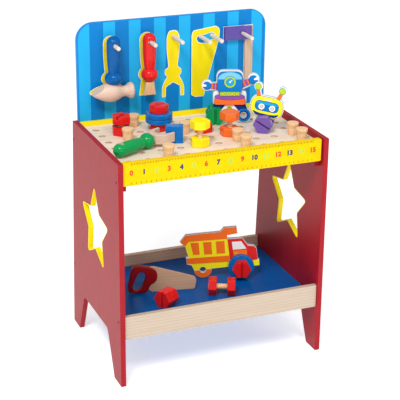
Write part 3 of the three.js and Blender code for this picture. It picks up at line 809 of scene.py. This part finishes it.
def board_top(x, half, top, radius):
    """Height of a board's rounded upper edge at x."""
    over = max(0.0, abs(x) - (half - radius))
    return top - radius + math.sqrt(max(0.0, radius ** 2 - over ** 2))


def stripes(half, bottom, top):
    radius = BOARD_CORNER - STRIPE["side"]
    result = []
    for k in range(STRIPE["count"]):
        middle = STRIPE["middle"] + (k - (STRIPE["count"] - 1) / 2) * STRIPE["pitch"]
        x0 = max(middle - STRIPE["width"] / 2, -half)
        x1 = min(middle + STRIPE["width"] / 2, half)
        steps = [x0 + (x1 - x0) * t / 14 for t in range(15)]
        upper = [Vector((x, board_top(x, half, top, radius))) for x in steps]
        result.append([Vector((x0, bottom))] + upper + [Vector((x1, bottom))])
    return result


def handle_edge(length, grip, neck, ball, foot, ball_height, seat_radius, steps=12):
    """The smooth profile of a turned handle, (radius, z) from its flat bottom to its tip."""
    half = ball_height / 2
    first, last = -math.acos(seat_radius / ball), math.acos(neck / ball)
    points = []
    for i in range(steps + 1):
        a = first + (last - first) * i / steps
        points.append((ball * math.cos(a), foot + half + half * math.sin(a)))
    neck_z, dome_z = points[-1][1], length - grip
    for i in range(1, steps + 1):
        t = i / steps
        points.append((neck + (grip - neck) * (1 - (1 - t) ** 3), neck_z + (dome_z - neck_z) * t))
    for i in range(1, steps + 1):
        a = math.pi / 2 * i / steps
        points.append((grip * math.cos(a), dome_z + grip * math.sin(a)))
    points[-1] = (0, length)
    return points


HANDLES = {
    "hammer": (107, 14.5, 11.5, 19.8, 0, 32, 14), "screwdriver": (109, 14.5, 11, 18, 3.2, 31, 11.5),
    "wrench": (107, 14, 10.6, 16.4, 0, 30, 9.5),
}
HEAD_DROP = 14                   # from the hammer's handle down to its head's axis
HAMMER_HEAD = [
    (0, -49.5), (3.6, -49, 1.5), (10.5, -40, 12), (17, -26, 12), (21.4, -11, 12), (20.0, 3, 10),
    (13.6, 14, 8), (11.2, 21.5, 6), (12.2, 28, 6), (17.2, 34, 3), (17.9, 39, 2.5), (15.5, 42, 2), (0, 42),
]


def hammer_print():
    """The hammer's printed place: its handle over a slimmer head."""
    edge = handle_edge(*HANDLES["hammer"])
    head = eased([
        (-14, 0), (-22, 0, 6), (-34.5, -3.5, 8), (-46, -10.5, 3), (-46, -15.5, 3), (-30, -21, 8), (0, -24, 8),
        (34, -21, 3), (34, -10, 3), (14, -4),
    ], closed=False)
    return [Vector((-r, z)) for r, z in reversed(edge)] + head[1:-1] + [Vector(p) for p in edge[:-1]]


def screwdriver_print():
    edge = [Vector(p) for p in handle_edge(*HANDLES["screwdriver"])]
    return mirrored(list(reversed(edge)) + [Vector((16, -28))])


def pliers_print():
    half = eased([
        (0, 668), (9, 667, 6), (14, 654, 6), (14, 625, 8), (10, 592, 8), (11, 586.5, 3),
        (18.3, 582, 6), (18.3, 572, 6), (12.7, 567, 3), (20, 555, 6), (25, 543, 8), (25, 522, 1),
        (18, 522, 1), (17.5, 544, 3), (0, 554, 1),
    ], closed=False)
    return mirrored(half)


def saw_print():
    body = eased([
        (43, 520, 1), (43, 655, 4), (46, 663, 4), (100, 669.6, 5), (107.4, 662, 5), (107, 649, 8),
        (100, 620, 8), (80.8, 553.7, 8), (71, 515, 2), (51, 515, 4),
    ])
    grip = eased([
        (53.5, 650, 3), (53.3, 641, 4), (60, 634.8, 5), (77.4, 632.5, 8), (91.3, 641.4, 5), (98, 652, 3),
        (91, 658, 4),
    ])
    return body, grip


def square_print():
    stock, blade = turned_box("square_stock"), turned_box("square_blade")
    return [
        (stock[0].x, stock[0].z), (blade[0].x, stock[0].z), (blade[0].x, blade[0].z),
        (blade[1].x, blade[0].z), (blade[1].x, stock[1].z), (stock[0].x, stock[1].z)]


def tool_prints():
    """The yellow places of the tools on the board, each with its thin white outline."""
    hammer, driver = turned_box("hammer_handle"), turned_box("screwdriver_handle")
    hang = [((low + high) / 2).x for low, high in (hammer, driver)]
    saw, grip = saw_print()
    shapes = [
        [grown(shifted(hammer_print(), hang[0], hammer[0].z - PRINT_DROP), 0.3)],
        [grown(shifted(screwdriver_print(), hang[1], driver[0].z - DRIVER_DROP), 0.3)],
        [shifted(pliers_print(), -1, 0)], [saw, grip], [grown(square_print(), -0.4)],
    ]
    parts = []
    for shape, *holes in shapes:
        white = [grown(shape, OUTLINE)] + [grown(hole, -OUTLINE) for hole in holes]
        parts.append((printed(*white, layer=3), INK["white"]))
        parts.append((printed(shape, *holes, layer=4), INK["gold"]))
    return parts


def rounded_board(half, bottom, top, radius):
    """A board's outline with its two upper corners rounded."""
    corners = arc(half - radius, top - radius, radius, 0, 90, 16)
    corners += arc(-half + radius, top - radius, radius, 90, 180, 16)
    return [Vector((-half, bottom)), Vector((half, bottom))] + corners


def back_board():
    low, high = turned_box("back_board")
    spots = [turned_box(name) for name in DOWELS]
    holes = [circle((a.x + b.x) / 2, (a.z + b.z) / 2, BOARD_HOLE, 32) for a, b in spots]
    thickness = high.y - low.y
    outline = rounded_board(high.x, low.z, high.z, BOARD_CORNER)
    parts = [(plate([outline, *holes], thickness, 0.8), BOARD_BLUE)]
    half, bottom, top = high.x - STRIPE["side"], low.z + 1, high.z - STRIPE["top"]
    ground = rounded_board(half, bottom, top, BOARD_CORNER - STRIPE["side"])
    layers = [(printed(ground, layer=1), INK["deep_sky"])]
    layers += [(printed(shape, layer=2), INK["sky"]) for shape in stripes(half, bottom, top)]
    layers += tool_prints()
    parts += [(shift(mesh, z=thickness), finish) for mesh, finish in layers]
    piece("board", parts, at((0, high.y, 0), FRONT), "bench", ["back_board"])


back_board()


def dowels():
    for node in DOWELS:
        axes = along((0, -1, 0))
        low, high = turned_box(node, axes)
        length, radius = high.z - low.z, (high.x - low.x) / 2
        profile = eased([(0, 0), (radius, 0, 0.4), (radius, length, 1.6), (0, length)], closed=False)
        parts = [(turned(profile, 40), DOWEL_WOOD)]
        piece(f"{node}_dowel", parts, seat(node, axes), "bench", [node], "Z")


dowels()


# ---- Bolts, nuts, wheels and pegs ----------------------------------------------------------------


def hex_head(height, slotted=False, bore=0.0):
    """A hexagonal block with eased edges, a slot across its top or a bore through it."""
    body = spin(plate([hexagon(HEX["flats"])], height, 0), 30, "Z")
    if slotted:
        body = carved(body, box(3 * HEX["flats"], HEX["slot"], 2 * HEX["slot_depth"], (0, 0, height)))
    if bore:
        body = carved(body, rod(bore, -1, height + 1))
    return softened(tidied(body), HEX["ease"])


def bolt(name, finish, slot, axes, slotted=True, shank=SHANK):
    """A bolt whose head looks along the axes' Z, its shank behind it."""
    place = seat(name, axes, (0.5, 0.5, 1), (0, 0, -HEX["height"]))
    parts = [(hex_head(HEX["height"], slotted), finish), (threaded_rod(-shank, 0.5), BEECH)]
    piece(f"{name}_wood", parts, place, name, [name], "Z")


def nut(name, finish, slot, axes):
    height = HEX["nut"]
    parts = [(hex_head(height, bore=THREAD["bore"]), finish), (threaded_sleeve(0.6, height - 0.6), BEECH)]
    piece(f"{name}_wood", parts, seat(name, axes), name, [name], "Z")


def bench_bolts():
    """The upright pairs on the bench top, and the spare nut."""
    for pair, slotted in {"red": True, "yellow": False, "orange": False, "wheel": True}.items():
        colour = "red" if pair == "wheel" else pair
        look = TOY[colour], f"toy_{colour}"
        bolt(f"{pair}_bolt", *look, along((0, 0, 1), TURNS[f"{pair}_bolt"]), slotted)
        nut(f"{pair}_nut", *look, along((0, 0, 1), TURNS[f"{pair}_nut"]))
    nut("spare_red_nut", TOY["red"], "toy_red", along((0, 0, 1), TURNS["spare_red_nut"]))


bench_bolts()


def wheel(node, axes=UP):
    low, high = turned_box(node, axes)
    radius, height, bore = (high.x - low.x) / 2, high.z - low.z, THREAD["bore"]
    profile = eased([
        (bore, 0, 0.8), (radius, 0, 2.6), (radius, height, 2.6), (bore, height, 0.8)])
    piece(f"{node}_disc", [(turned_ring(profile), TOY["blue"])], seat(node, axes), node, [node])


wheel("lower_blue_wheel")
wheel("upper_blue_wheel")


def bench_peg(node):
    """A turned peg: a plain shank in its hole, a grooved body and a flared head."""
    body, head, shank, depth, height = 10.4, 12.5, 6.4, 13, 26
    profile = eased([
        (0, -depth), (shank, -depth, 1.2), (shank, 0.2), (body - 0.8, 0, 0.4), (body - 0.2, 4.6, 0.4),
        (body - 0.9, 5.2, 0.5), (body, 5.8, 0.4), (body + 0.4, 12.6, 2), (body - 0.4, 13.4, 0.5),
        (body + 0.4, 14.2, 0.5), (body + 0.8, 18, 3), (head, 21, 1), (head, height, 1.4), (0, height),
    ], closed=False)
    place = seat(node, shift=(0, 0, depth))
    piece(f"{node}_turned", [(turned(profile, 56), BEECH)], place, node, [node], "Z")


for k in range(PEGS):
    bench_peg(f"bench_peg_{k + 1}")


def block_nut():
    """A square nut with its threaded bore lying level."""
    node = "blue_block_nut"
    axes = along((0, 0, 1), BLOCK_TURN)
    low, high = turned_box(node, axes)
    size = high - low
    half, middle = size.x / 2, size.z / 2
    bore = shift(spin(rod(THREAD["bore"], -size.x, size.x), 90, "Y"), z=middle)
    body = softened(tidied(carved(box(*size, (0, 0, middle)), bore)), 1.3)
    sleeve = shift(spin(threaded_sleeve(0.8 - half, half - 0.8), 90, "Y"), z=middle)
    parts = [(body, TOY["blue"]), (sleeve, BEECH)]
    piece("blue_block", parts, seat(node, axes), node, [node])


block_nut()


# ---- Tools ---------------------------------------------------------------------------------------

TENON = 5.5                      # radius of the pin that joins a head to its handle
HANG_HOLE = 5.9                  # radius of a handle's hanging hole
BALL_POINTS = 24                 # of a handle's profile: its ball and most of the curve above it
TEETH = {"first": 97, "pitch": 5.2, "depth": 2.4, "count": 18}


def handle_solid(key, hole_z, hole_turn=0):
    """A turned handle with its hanging hole, whose wall is left as bare wood."""
    blank = turned([(0, 0)] + handle_edge(*HANDLES[key]), 80)
    drill = spin(shift(spin(rod(HANG_HOLE, -40, 40), 90, "X"), z=hole_z), hole_turn, "Z")
    body = carved(blank, drill)
    for face in body.polygons:
        off = face.center.y if hole_turn else face.center.x
        inside = math.hypot(off, face.center.z - hole_z) < HANG_HOLE + 0.02
        face.material_index = 1 if inside else 0
        face.use_smooth = abs(face.normal.z) < FLAT_CAP
    return body


def hanging_handle(tool, finish):
    node = f"{tool}_handle"
    low = turned_box(node)[0]
    a, b = turned_box(f"{tool}_peg")
    solid = handle_solid(tool, (a.z + b.z) / 2 - low.z)
    piece(f"{node}_turned", [(solid, finish, MAPLE)], seat(node), tool, [node], "Z")


hanging_handle("hammer", HANDLE_BLUE)
hanging_handle("screwdriver", TOY["red"])


def hammer_head():
    """A turned head along X, its pein sliced to a facet on top, with a seat for the handle's ball."""
    blank = spin(turned(eased(HAMMER_HEAD, closed=False), 80), 90, "Y")
    tilt = Matrix.Rotation(math.radians(-41), 4, "Y") @ Matrix.Rotation(math.radians(14), 4, "X")
    slice_away = moved(box(60, 60, 30, (0, 0, 15)), Matrix.Translation((-46, 0, -1.0)) @ tilt)
    facing_out = tilt.to_3x3() @ Vector((0, 0, 1))
    blank = carved(blank, slice_away)
    ball = [(r + 0.5, z) for r, z in handle_edge(*HANDLES["hammer"])[:BALL_POINTS]]
    body = carved(blank, shift(turned([(0, 0)] + ball + [(0, 60)], 80), z=HEAD_DROP))
    body = carved(body, rod(TENON, -2, HEAD_DROP + 20, 32), "UNION")
    for face in body.polygons:
        sliced = face.normal.dot(facing_out) > FLAT_CAP and face.center.x < -10
        face.use_smooth = not sliced
        face.material_index = 1 if sliced else 0
    place = seat("hammer_handle", shift=(0, 0, -HEAD_DROP))
    parts = [(body, MAPLE, END_GRAIN)]
    piece("hammer_head_turned", parts, place, "hammer", ["hammer_head"])


hammer_head()


def screwdriver_blade():
    """A turned cone cut to a wedge: its flats end in curves."""
    cone = [(0, -27), (14.2, -27), (13.0, -22), (11.4, -12), (10.6, -4), (10.2, 2.9), (0, 2.9)]
    wedge = plate([[(-10.5, 4), (-1.9, -27.2), (1.9, -27.2), (10.5, 4)]], 60, 0, -30)
    body = carved(turned(cone, 72), moved(wedge, SIDE), "INTERSECT")
    parts = [(softened(tidied(body), 0.5, 2, 38), BEECH), (rod(TENON, -3, 20, 32), BEECH)]
    place = seat("screwdriver_handle")
    piece("screwdriver_blade_cut", parts, place, "screwdriver", ["screwdriver_blade"], "Z")


screwdriver_blade()


def wrench():
    """A turned handle with its forked head, lying on the bench top."""
    axes = lying(WRENCH_TURN)
    lifted = Matrix.Translation((0, 0, WRENCH_LIFT * MM))
    handle = handle_solid("wrench", HANDLES["wrench"][0] - 17, 90)
    parts = [(handle, TOY["green"], MAPLE)]
    place = lifted @ seat("wrench_handle", axes)
    piece("wrench_handle_turned", parts, place, "wrench", ["wrench_handle"], "Z")
    half, jaw, reach, notch, thickness = 24.5, 6, 44, 27, 20
    inner = half - jaw
    outline = eased([
        (-9, 0, 2), (9, 0, 2), (half, 14, 10), (half, reach, 2.5), (inner, reach, 2),
        (inner, notch + 4, 8), (9, notch - 10, 10), (-9, notch - 10, 10), (-inner, notch + 4, 8),
        (-inner, reach, 2), (-half, reach, 2.5), (-half, 14, 10),
    ])
    head = plate([outline], thickness, 1.6, -thickness / 2, 3)
    tenon = shift(spin(rod(TENON, 0, 24, 32), 90, "X"), y=4)
    lay = Matrix(((0, 0, -1), (1, 0, 0), (0, -1, 0)))
    parts = [(moved(mesh, lay), MAPLE) for mesh in (head, tenon)]
    place = lifted @ seat("wrench_handle", axes, shift=(0, 0, -0.3))
    piece("wrench_head_cut", parts, place, "wrench", ["wrench_head"], "Z")


wrench()


def saw():
    """A toothed blade let into a handle with a grip hole."""
    axes = facing(STANDING["saw"])
    low, high = turned_box("saw_blade", axes)
    thickness = high.z - low.z
    corners = [(-6, 10), (-6, 60), (10, 60, 2), (100, 29.5, 6), (103.5, 22, 4), (100, 2, 2)]
    for i in range(TEETH["count"]):
        x = TEETH["first"] - i * TEETH["pitch"]
        corners += [(x, TEETH["depth"]), (x - TEETH["pitch"] / 2, 0)]
    blade = plate([eased(corners)], thickness, 0.35, -thickness / 2, 1)
    place = seat("saw_blade", axes, (0, 0, 0.5), (6, 0, 0))
    piece("saw_blade_cut", [(blade, SAW_WOOD)], place, "saw", ["saw_blade"])
    outline = eased([
        (-40, 3, 6), (-12, 0, 9), (-3, 6, 9), (0, 18, 9), (16, 27, 13), (17, 48, 15), (6, 59, 7),
        (-24, 66, 9), (-38, 64, 9), (-48, 16, 7), (-46, 4, 4),
    ])
    grip = eased([
        (-36, 8, 7), (-26, 6.5, 6), (-17, 12, 8), (-7.5, 40, 9), (-13, 50, 7), (-25, 50, 8), (-38, 18, 8)])
    body = plate([outline, grip], 12, 2.2, -6, 4)
    piece("saw_handle_cut", [(body, SAW_RED)], place, "saw", ["saw_handle"], "Y")


saw()


def try_square():
    """A stock with its blade let into the back, drilled together for their dowel."""
    a, b = turned_box("square_peg")
    hole = circle((a.x + b.x) / 2, (a.z + b.z) / 2, HANG_HOLE, 40)
    edge, back = turned_box("square_blade")
    blade = plate([rectangle(edge.x, edge.z, back.x, back.z, 1), hole], back.y - edge.y, 0.5)
    place = at((0, back.y, 0), FRONT)
    piece("square_blade_cut", [(blade, BLADE_WOOD)], place, "square", ["square_blade"], "Y")
    low, high = turned_box("square_stock")
    depth = high.y - back.y + 5.1
    front = plate([rectangle(low.x, low.z, high.x, high.z, 1.2), hole], depth, 0.9, 4.9)
    rear = plate([rectangle(low.x, low.z, edge.x - 0.3, high.z, 1.2)], 5.6, 0.7)
    parts = [(front, STOCK_PURPLE), (rear, STOCK_PURPLE)]
    piece("square_stock_cut", parts, at((0, high.y, 0), FRONT), "square", ["square_stock"])


try_square()


# ---- Toys bolted together ------------------------------------------------------------------------


class Picture:
    """Printed shapes on a plate's front, each layer over the one before."""

    def __init__(self):
        self.parts = []
        self.layer = 0

    def fill(self, colour, *outlines):
        self.layer += 1
        self.parts.append((printed(*outlines, layer=self.layer), INK[colour]))

    def inked(self, colour, outline, line=0.7):
        """A shape with a thin dark line round it."""
        self.fill("navy", grown(outline, line))
        self.fill(colour, outline)


def limb(start, end, width_start, width_end):
    """A tapering bar between two points."""
    a, b = Vector(start), Vector(end)
    across = (b - a).normalized().orthogonal()
    near, far = across * width_start, across * width_end
    return [a - near, b - far, b + far, a + near]


def plate_piece(toy, name, outlines, holes, picture, place):
    """A white plywood toy: joined outlines with bolt holes, and its picture on the front."""
    solid = None
    for outline in outlines:
        part = plate([outline], PLATE, 0, -PLATE)
        solid = part if solid is None else carved(solid, part, "UNION")
    for x, y in holes:
        solid = carved(solid, shift(rod(THREAD["bore"], -2 * PLATE, PLATE), x, y))
    solid = softened(tidied(solid), 0.4, 2, 40)
    # Faces square to the plate take the white plywood, and all other faces take the greyer edge finish, which
    # is painted shade.
    for face in solid.polygons:
        face.material_index = 0 if abs(face.normal.z) > 0.9 else 1
    prints = []
    reach = THREAD["bore"] + 0.5
    for mesh, finish in picture.parts:
        spots = [v.co.xy for v in mesh.vertices]
        spans = [(min(s[k] for s in spots), max(s[k] for s in spots)) for k in (0, 1)]
        for spot in holes:
            if all(low - reach < c < high + reach for c, (low, high) in zip(spot, spans)):
                mesh = carved(mesh, shift(rod(reach, -1, PLATE), *spot))
        if mesh.polygons:
            prints.append((flatten_caps(mesh), finish))
    body = "truck" if toy == "truck_body" else toy
    piece(name, [(solid, WHITE_PLY, SHADED_PLY_EDGE)] + prints, place, body, [toy])


def robot_picture():
    mid, foot, stride = ROBOT["stride"] / 2, ROBOT["foot"], ROBOT["stride"]
    art = Picture()
    for x, hip in ((0, mid - 20), (stride, mid + 20)):
        art.fill("navy", limb((x, foot + 10), (hip, 46), 9, 12))
    for x in (0, stride):
        art.inked("blue", circle(x, foot, ROBOT["foot_radius"] - 2.4), 0.6)
        art.fill("navy", circle(x, foot, 10.5), circle(x, foot, 7.6))
    for side, hand in ((-1, (mid - 49, 84)), (1, (mid + 50, 98))):
        shoulder = (mid + side * 25, 82 if side < 0 else 88)
        way = Vector(hand) - Vector(shoulder)
        for k in range(5):
            colour = "orange" if k % 2 else "purple"
            a = Vector(shoulder) + way * (0.02 + 0.15 * k)
            b = Vector(shoulder) + way * (0.15 + 0.15 * k)
            art.inked(colour, limb(a, b, 7.5 - 0.5 * k, 7.2 - 0.5 * k), 0.5)
        art.inked("blue", circle(*hand, 8.4 if side < 0 else 9.2), 0.6)
        out = way.normalized()
        art.fill("white", limb(Vector(hand) + out * 1.5, Vector(hand) + out * 9.6, 1.6, 3.4))
    art.inked("orange", rectangle(mid - 33, 42.5, mid + 33, 57, 5))
    art.inked("purple", circle(mid, 60, 32, 48, 0.22))
    art.inked("blue", rectangle(mid - 26.5, 67.5, mid + 26.5, 115.5, 14))
    cap = arc(mid, 99, 25.5, 0, 180, 24, 0.62)
    art.fill("pale_blue", cap)
    art.inked("lime", circle(mid, 93, 12.5))
    art.inked("sky", circle(mid, 93, 8.2), 0.5)
    art.fill("white", limb((mid, 93), (mid + 5, 98.4), 1.1, 0.5))
    art.fill("white", circle(mid, 93, 1.8, 24))
    art.inked("lime", rectangle(mid - 21, 62.5, mid + 21, 71.5, 2.5))
    for k in range(4):
        art.inked("gold", circle(mid - 15 + 10 * k, 67, 2.5, 28), 0.5)
    return art


def big_robot():
    mid, foot, stride = ROBOT["stride"] / 2, ROBOT["foot"], ROBOT["stride"]
    axes = facing(STANDING["robot"])
    outlines = [
        circle(0, foot, ROBOT["foot_radius"]), circle(stride, foot, ROBOT["foot_radius"]),
        eased([(-10, 20), (15, 20), (mid, 42), (mid, 50), (0, 50, 4)]),
        eased([(stride + 12, 20), (stride + 2, 50, 4), (mid, 50), (mid, 42), (stride - 17, 20)]),
        rectangle(mid - 36, 40, mid + 36, 72, 8), rectangle(mid - 29, 66, mid + 29, 118, 16),
        eased([(mid - 20, 92, 4), (mid - 46, 88, 6), (mid - 48, 74, 5), (mid - 20, 72, 4)]),
        circle(mid - 49, 84, 12),
        eased([(mid + 20, 72, 4), (mid + 46, 84, 6), (mid + 48, 100, 5), (mid + 20, 94, 4)]),
        circle(mid + 50, 98, 13),
    ]
    bolt_low, bolt_high = turned_box("green_bolt", axes)
    front = turned_box("big_robot", axes)[1].z
    middle = (bolt_low + bolt_high) / 2
    place = at(axes @ Vector((middle.x, middle.y - HEX["flats"] / 2, front)), axes)
    holes = [(0, foot), (stride, foot)]
    plate_piece("big_robot", "robot_plate", outlines, holes, robot_picture(), place)
    bolt("green_bolt", TOY["green"], "toy_green", facing(STANDING["robot"], 90))
    nut("green_nut", TOY["green"], "toy_green", facing(STANDING["robot"], 30))


big_robot()


def small_robot_picture():
    art = Picture()
    art.inked("blue", eased([(-11, -3, 6), (11, -3, 6), (13, 22, 3), (-13, 22, 3)]), 0.5)
    for side, foot, tip in ((-1, (-20, 55), (-25, 72)), (1, (20, 55), (26, 72))):
        art.inked("orange", limb(foot, tip, 3.6, 3.0), 0.6)
        art.inked("lime", circle(tip[0] + side * 0.5, 77, 6.6), 0.6)
    art.inked("yellow", rectangle(-33.6, 14.4, 33.6, 57.6, 20))
    art.fill("navy", eased([
        (-30, 25, 6), (-22, 15.4, 6), (22, 15.4, 6), (30, 25, 6), (14, 20.5, 10), (-14, 20.5, 10)]))
    art.inked("blue", rectangle(-25, 27, 25, 48, 10))
    art.fill("sky", rectangle(-23, 41, 23, 46.4, 5))
    for x in (-11, 12):
        art.inked("white", circle(x, 35.5, 6.6), 0.6)
        art.inked("grey", circle(x, 35.5, 3.4, 32), 0.5)
    for k in range(4):
        art.fill("white", rectangle(-7 + 4 * k, 50.5, -5.4 + 4 * k, 54, 0.6))
    return art


def small_robot():
    axes = facing(STANDING["small_robot"])
    tilted = facing(STANDING["small_robot"], SMALL_ROBOT_TILT)
    outlines = [
        eased([(-12, -6, 6), (12, -6, 6), (15, 24), (-15, 24)]), rectangle(-36, 12, 36, 60, 22),
        eased([(-24, 50), (-14, 54), (-20, 76), (-29, 73)]), circle(-25, 77, 9),
        eased([(14, 54), (24, 50), (31, 72), (22, 76)]), circle(27, 77, 9),
    ]
    low, high = turned_box("purple_bolt", axes)
    front = turned_box("small_robot", axes)[1].z
    middle = (low + high) / 2
    place = at(axes @ Vector((middle.x, middle.y, front)), tilted)
    plate_piece("small_robot", "small_robot_plate", outlines, [(0, 0)], small_robot_picture(), place)
    bolt("purple_bolt", TOY["purple"], "toy_purple", facing(STANDING["small_robot"], -30))
    nut("purple_nut", TOY["purple"], "toy_purple", facing(STANDING["small_robot"], 30))


small_robot()


def truck_picture():
    """A plain tipper: an orange skip with three panels, a yellow chassis and a red cab."""
    art = Picture()
    art.fill("yellow", [
        (-32.8, 61.5), (-31, 46), (-28, 35.4), (-24, 14.6), (-19, 0.4), (68, 0.4), (68, 12), (62.6, 12),
        (62.6, 68), (-24, 72)])
    art.fill("orange", [
        (-43.4, 71.5), (-29.8, 87), (47.8, 86), (56.3, 94.5), (84, 93.5), (84.5, 78.5),
        (62, 76.6), (61, 67.6), (-24, 71.2), (-33.3, 61.6)])
    art.fill("orange", [(-21.5, 68), (-2.7, 66.6), (-3.4, 37.7), (-17.7, 38.5)])
    art.fill("orange", [(7, 66.4), (25.3, 65.2), (24.4, 35.4), (6.9, 36.6)])
    art.fill("orange", [(35.3, 64.8), (54.4, 63.9), (53.1, 34), (34.3, 35.2)])
    art.fill("orange", [(-33.8, 32), (61.5, 27.6), (60.6, 12.6), (-33.8, 18)])
    art.fill("orange", arc(0, 0, TRUCK["rear_wheel"] - 0.7, 180, 360, 24))
    art.fill("red", [
        (61.6, 67.2), (93.8, 65.4), (105, 46.2), (118.6, 43.2), (123.2, 37.6), (124, 10.6), (105, 9),
        (62, 9)])
    art.fill("white", eased([(70.5, 59.8, 1), (91.5, 58.6, 1), (101.5, 39.4, 1), (71, 40.6, 1)]))
    art.fill("orange", [(70.8, 38.6), (102, 36.8), (101.4, 21), (72, 24.5)])
    art.fill("lime", rectangle(73.5, 30.6, 81, 33.6, 1.3))
    art.fill("yellow", rectangle(110.6, -3.9, 126.6, 9.4, 0.8))
    return art


def truck():
    pitched = facing(STANDING["truck"], TRUCK_PITCH)
    base = TRUCK["wheel_base"]
    wheel_low, wheel_high = turned_box("truck_wheel", pitched)
    middle = (wheel_low + wheel_high) / 2
    front = turned_box("truck_body", pitched)[1].z
    place = at(pitched @ Vector((middle.x - base, middle.y, front)), pitched)
    outline = arc(0, 0, TRUCK["rear_wheel"], 180, 360, 24) + arc(base, 0, TRUCK["hub"], 180, 360, 20)
    outline += eased([
        (110, -4.5, 0.5), (127, -4.5, 1), (127.5, 9, 1), (124.5, 11, 0.5), (124, 38, 3), (119, 44, 3),
        (105.5, 47, 2), (94, 66, 2), (60.5, 68, 0.5), (62, 76, 0.5), (85, 78, 1), (84.5, 94, 1), (56, 95, 1),
        (47.5, 86.5, 1), (-30, 87.5, 2), (-44, 71.5, 1), (-33.5, 61, 1), (-31.5, 46), (-28.5, 35),
        (-34.5, 35, 0.6), (-34.5, 17, 0.6), (-24, 14, 1),
    ], closed=False)
    plate_piece("truck_body", "truck_plate", [outline], [(0, 0), (base, 0)], truck_picture(), place)
    wheel("truck_wheel", facing(STANDING["truck"]))
    bolt("truck_bolt", TOY["red"], "toy_red", facing(STANDING["truck"], 90))


truck()


def shelf_pairs():
    """Two bolts lying on the shelf, each with its nut."""
    for name, (turn, shank) in SHELF_PAIRS.items():
        bolt(f"{name}_bolt", TOY["red"], "toy_red", lying(turn), shank=shank)
        nut(f"{name}_nut", TOY["red"], "toy_red", lying(turn))


shelf_pairs()


# ---- Floor, light and camera ---------------------------------------------------------------------


LIGHTS = {                       # where it hangs, how wide it is and its power
    "key": ((-1.5, -1.9, 3.2), 0.9, 82), "second": ((0.1, -2.5, 3.0), 0.6, 24),
    "fill": ((2.6, -1.8, 2.2), 1.8, 10), "low": ((0.2, -3.4, 0.8), 1.4, 13),
}
AIM = Vector((0, 0, 0.35))       # the lights' shared target
STUDIO = {"seen": 1.0, "lighting": 0.52}


def stage():
    bm = bmesh.new()
    bmesh.ops.create_grid(bm, x_segments=8, y_segments=8, size=12)
    data = into(bm, bpy.data.meshes.new("floor"))
    data.materials.append(floor_finish())
    floor = linked("floor", data)
    floor.location.z = -0.0005       # just under the feet


def soft_light(name, position, size, power):
    data = bpy.data.lights.new(name, "AREA")
    data.shape = "DISK"
    data.size = size
    data.energy = power
    lamp = linked(name, data)
    lamp.location = position
    lamp.rotation_euler = (AIM - Vector(position)).to_track_quat("-Z", "Y").to_euler()


def lighting():
    world = bpy.data.worlds.new("studio")
    world.use_nodes = True
    tree = world.node_tree
    background = tree.nodes["Background"]
    background.inputs["Color"].default_value = WHITE
    seen = tree.nodes.new("ShaderNodeLightPath")
    strength = tree.nodes.new("ShaderNodeMapRange")
    strength.inputs["To Min"].default_value = STUDIO["lighting"]
    strength.inputs["To Max"].default_value = STUDIO["seen"]
    tree.links.new(seen.outputs["Is Camera Ray"], strength.inputs["Value"])
    tree.links.new(strength.outputs["Result"], background.inputs["Strength"])
    bpy.context.scene.world = world
    for name, (position, size, power) in LIGHTS.items():
        soft_light(name, position, size, power)
    bpy.context.scene.view_settings.view_transform = "Standard"


CAMERA = {
    "position": (-0.96182, -2.36962, 1.32306), "azimuth": -22.33, "elevation": 21.33, "roll": 0.54,
    "lens": 114.37, "sensor": 36, "clip": (0.05, 60),
}


def camera():
    a, e, r = [math.radians(CAMERA[key]) for key in ("azimuth", "elevation", "roll")]
    back = Vector((math.sin(a) * math.cos(e), -math.cos(a) * math.cos(e), math.sin(e)))
    level = Vector((math.cos(a), math.sin(a), 0))
    above = back.cross(level)
    right = level * math.cos(r) + above * math.sin(r)
    up = above * math.cos(r) - level * math.sin(r)
    data = bpy.data.cameras.new("camera")
    data.lens = CAMERA["lens"]
    data.sensor_width = CAMERA["sensor"]
    data.clip_start, data.clip_end = CAMERA["clip"]
    eye = linked("camera", data)
    axes = Matrix((right, up, back)).transposed().to_4x4()
    eye.matrix_world = Matrix.Translation(CAMERA["position"]) @ axes
    bpy.context.scene.camera = eye


stage()
lighting()
camera()
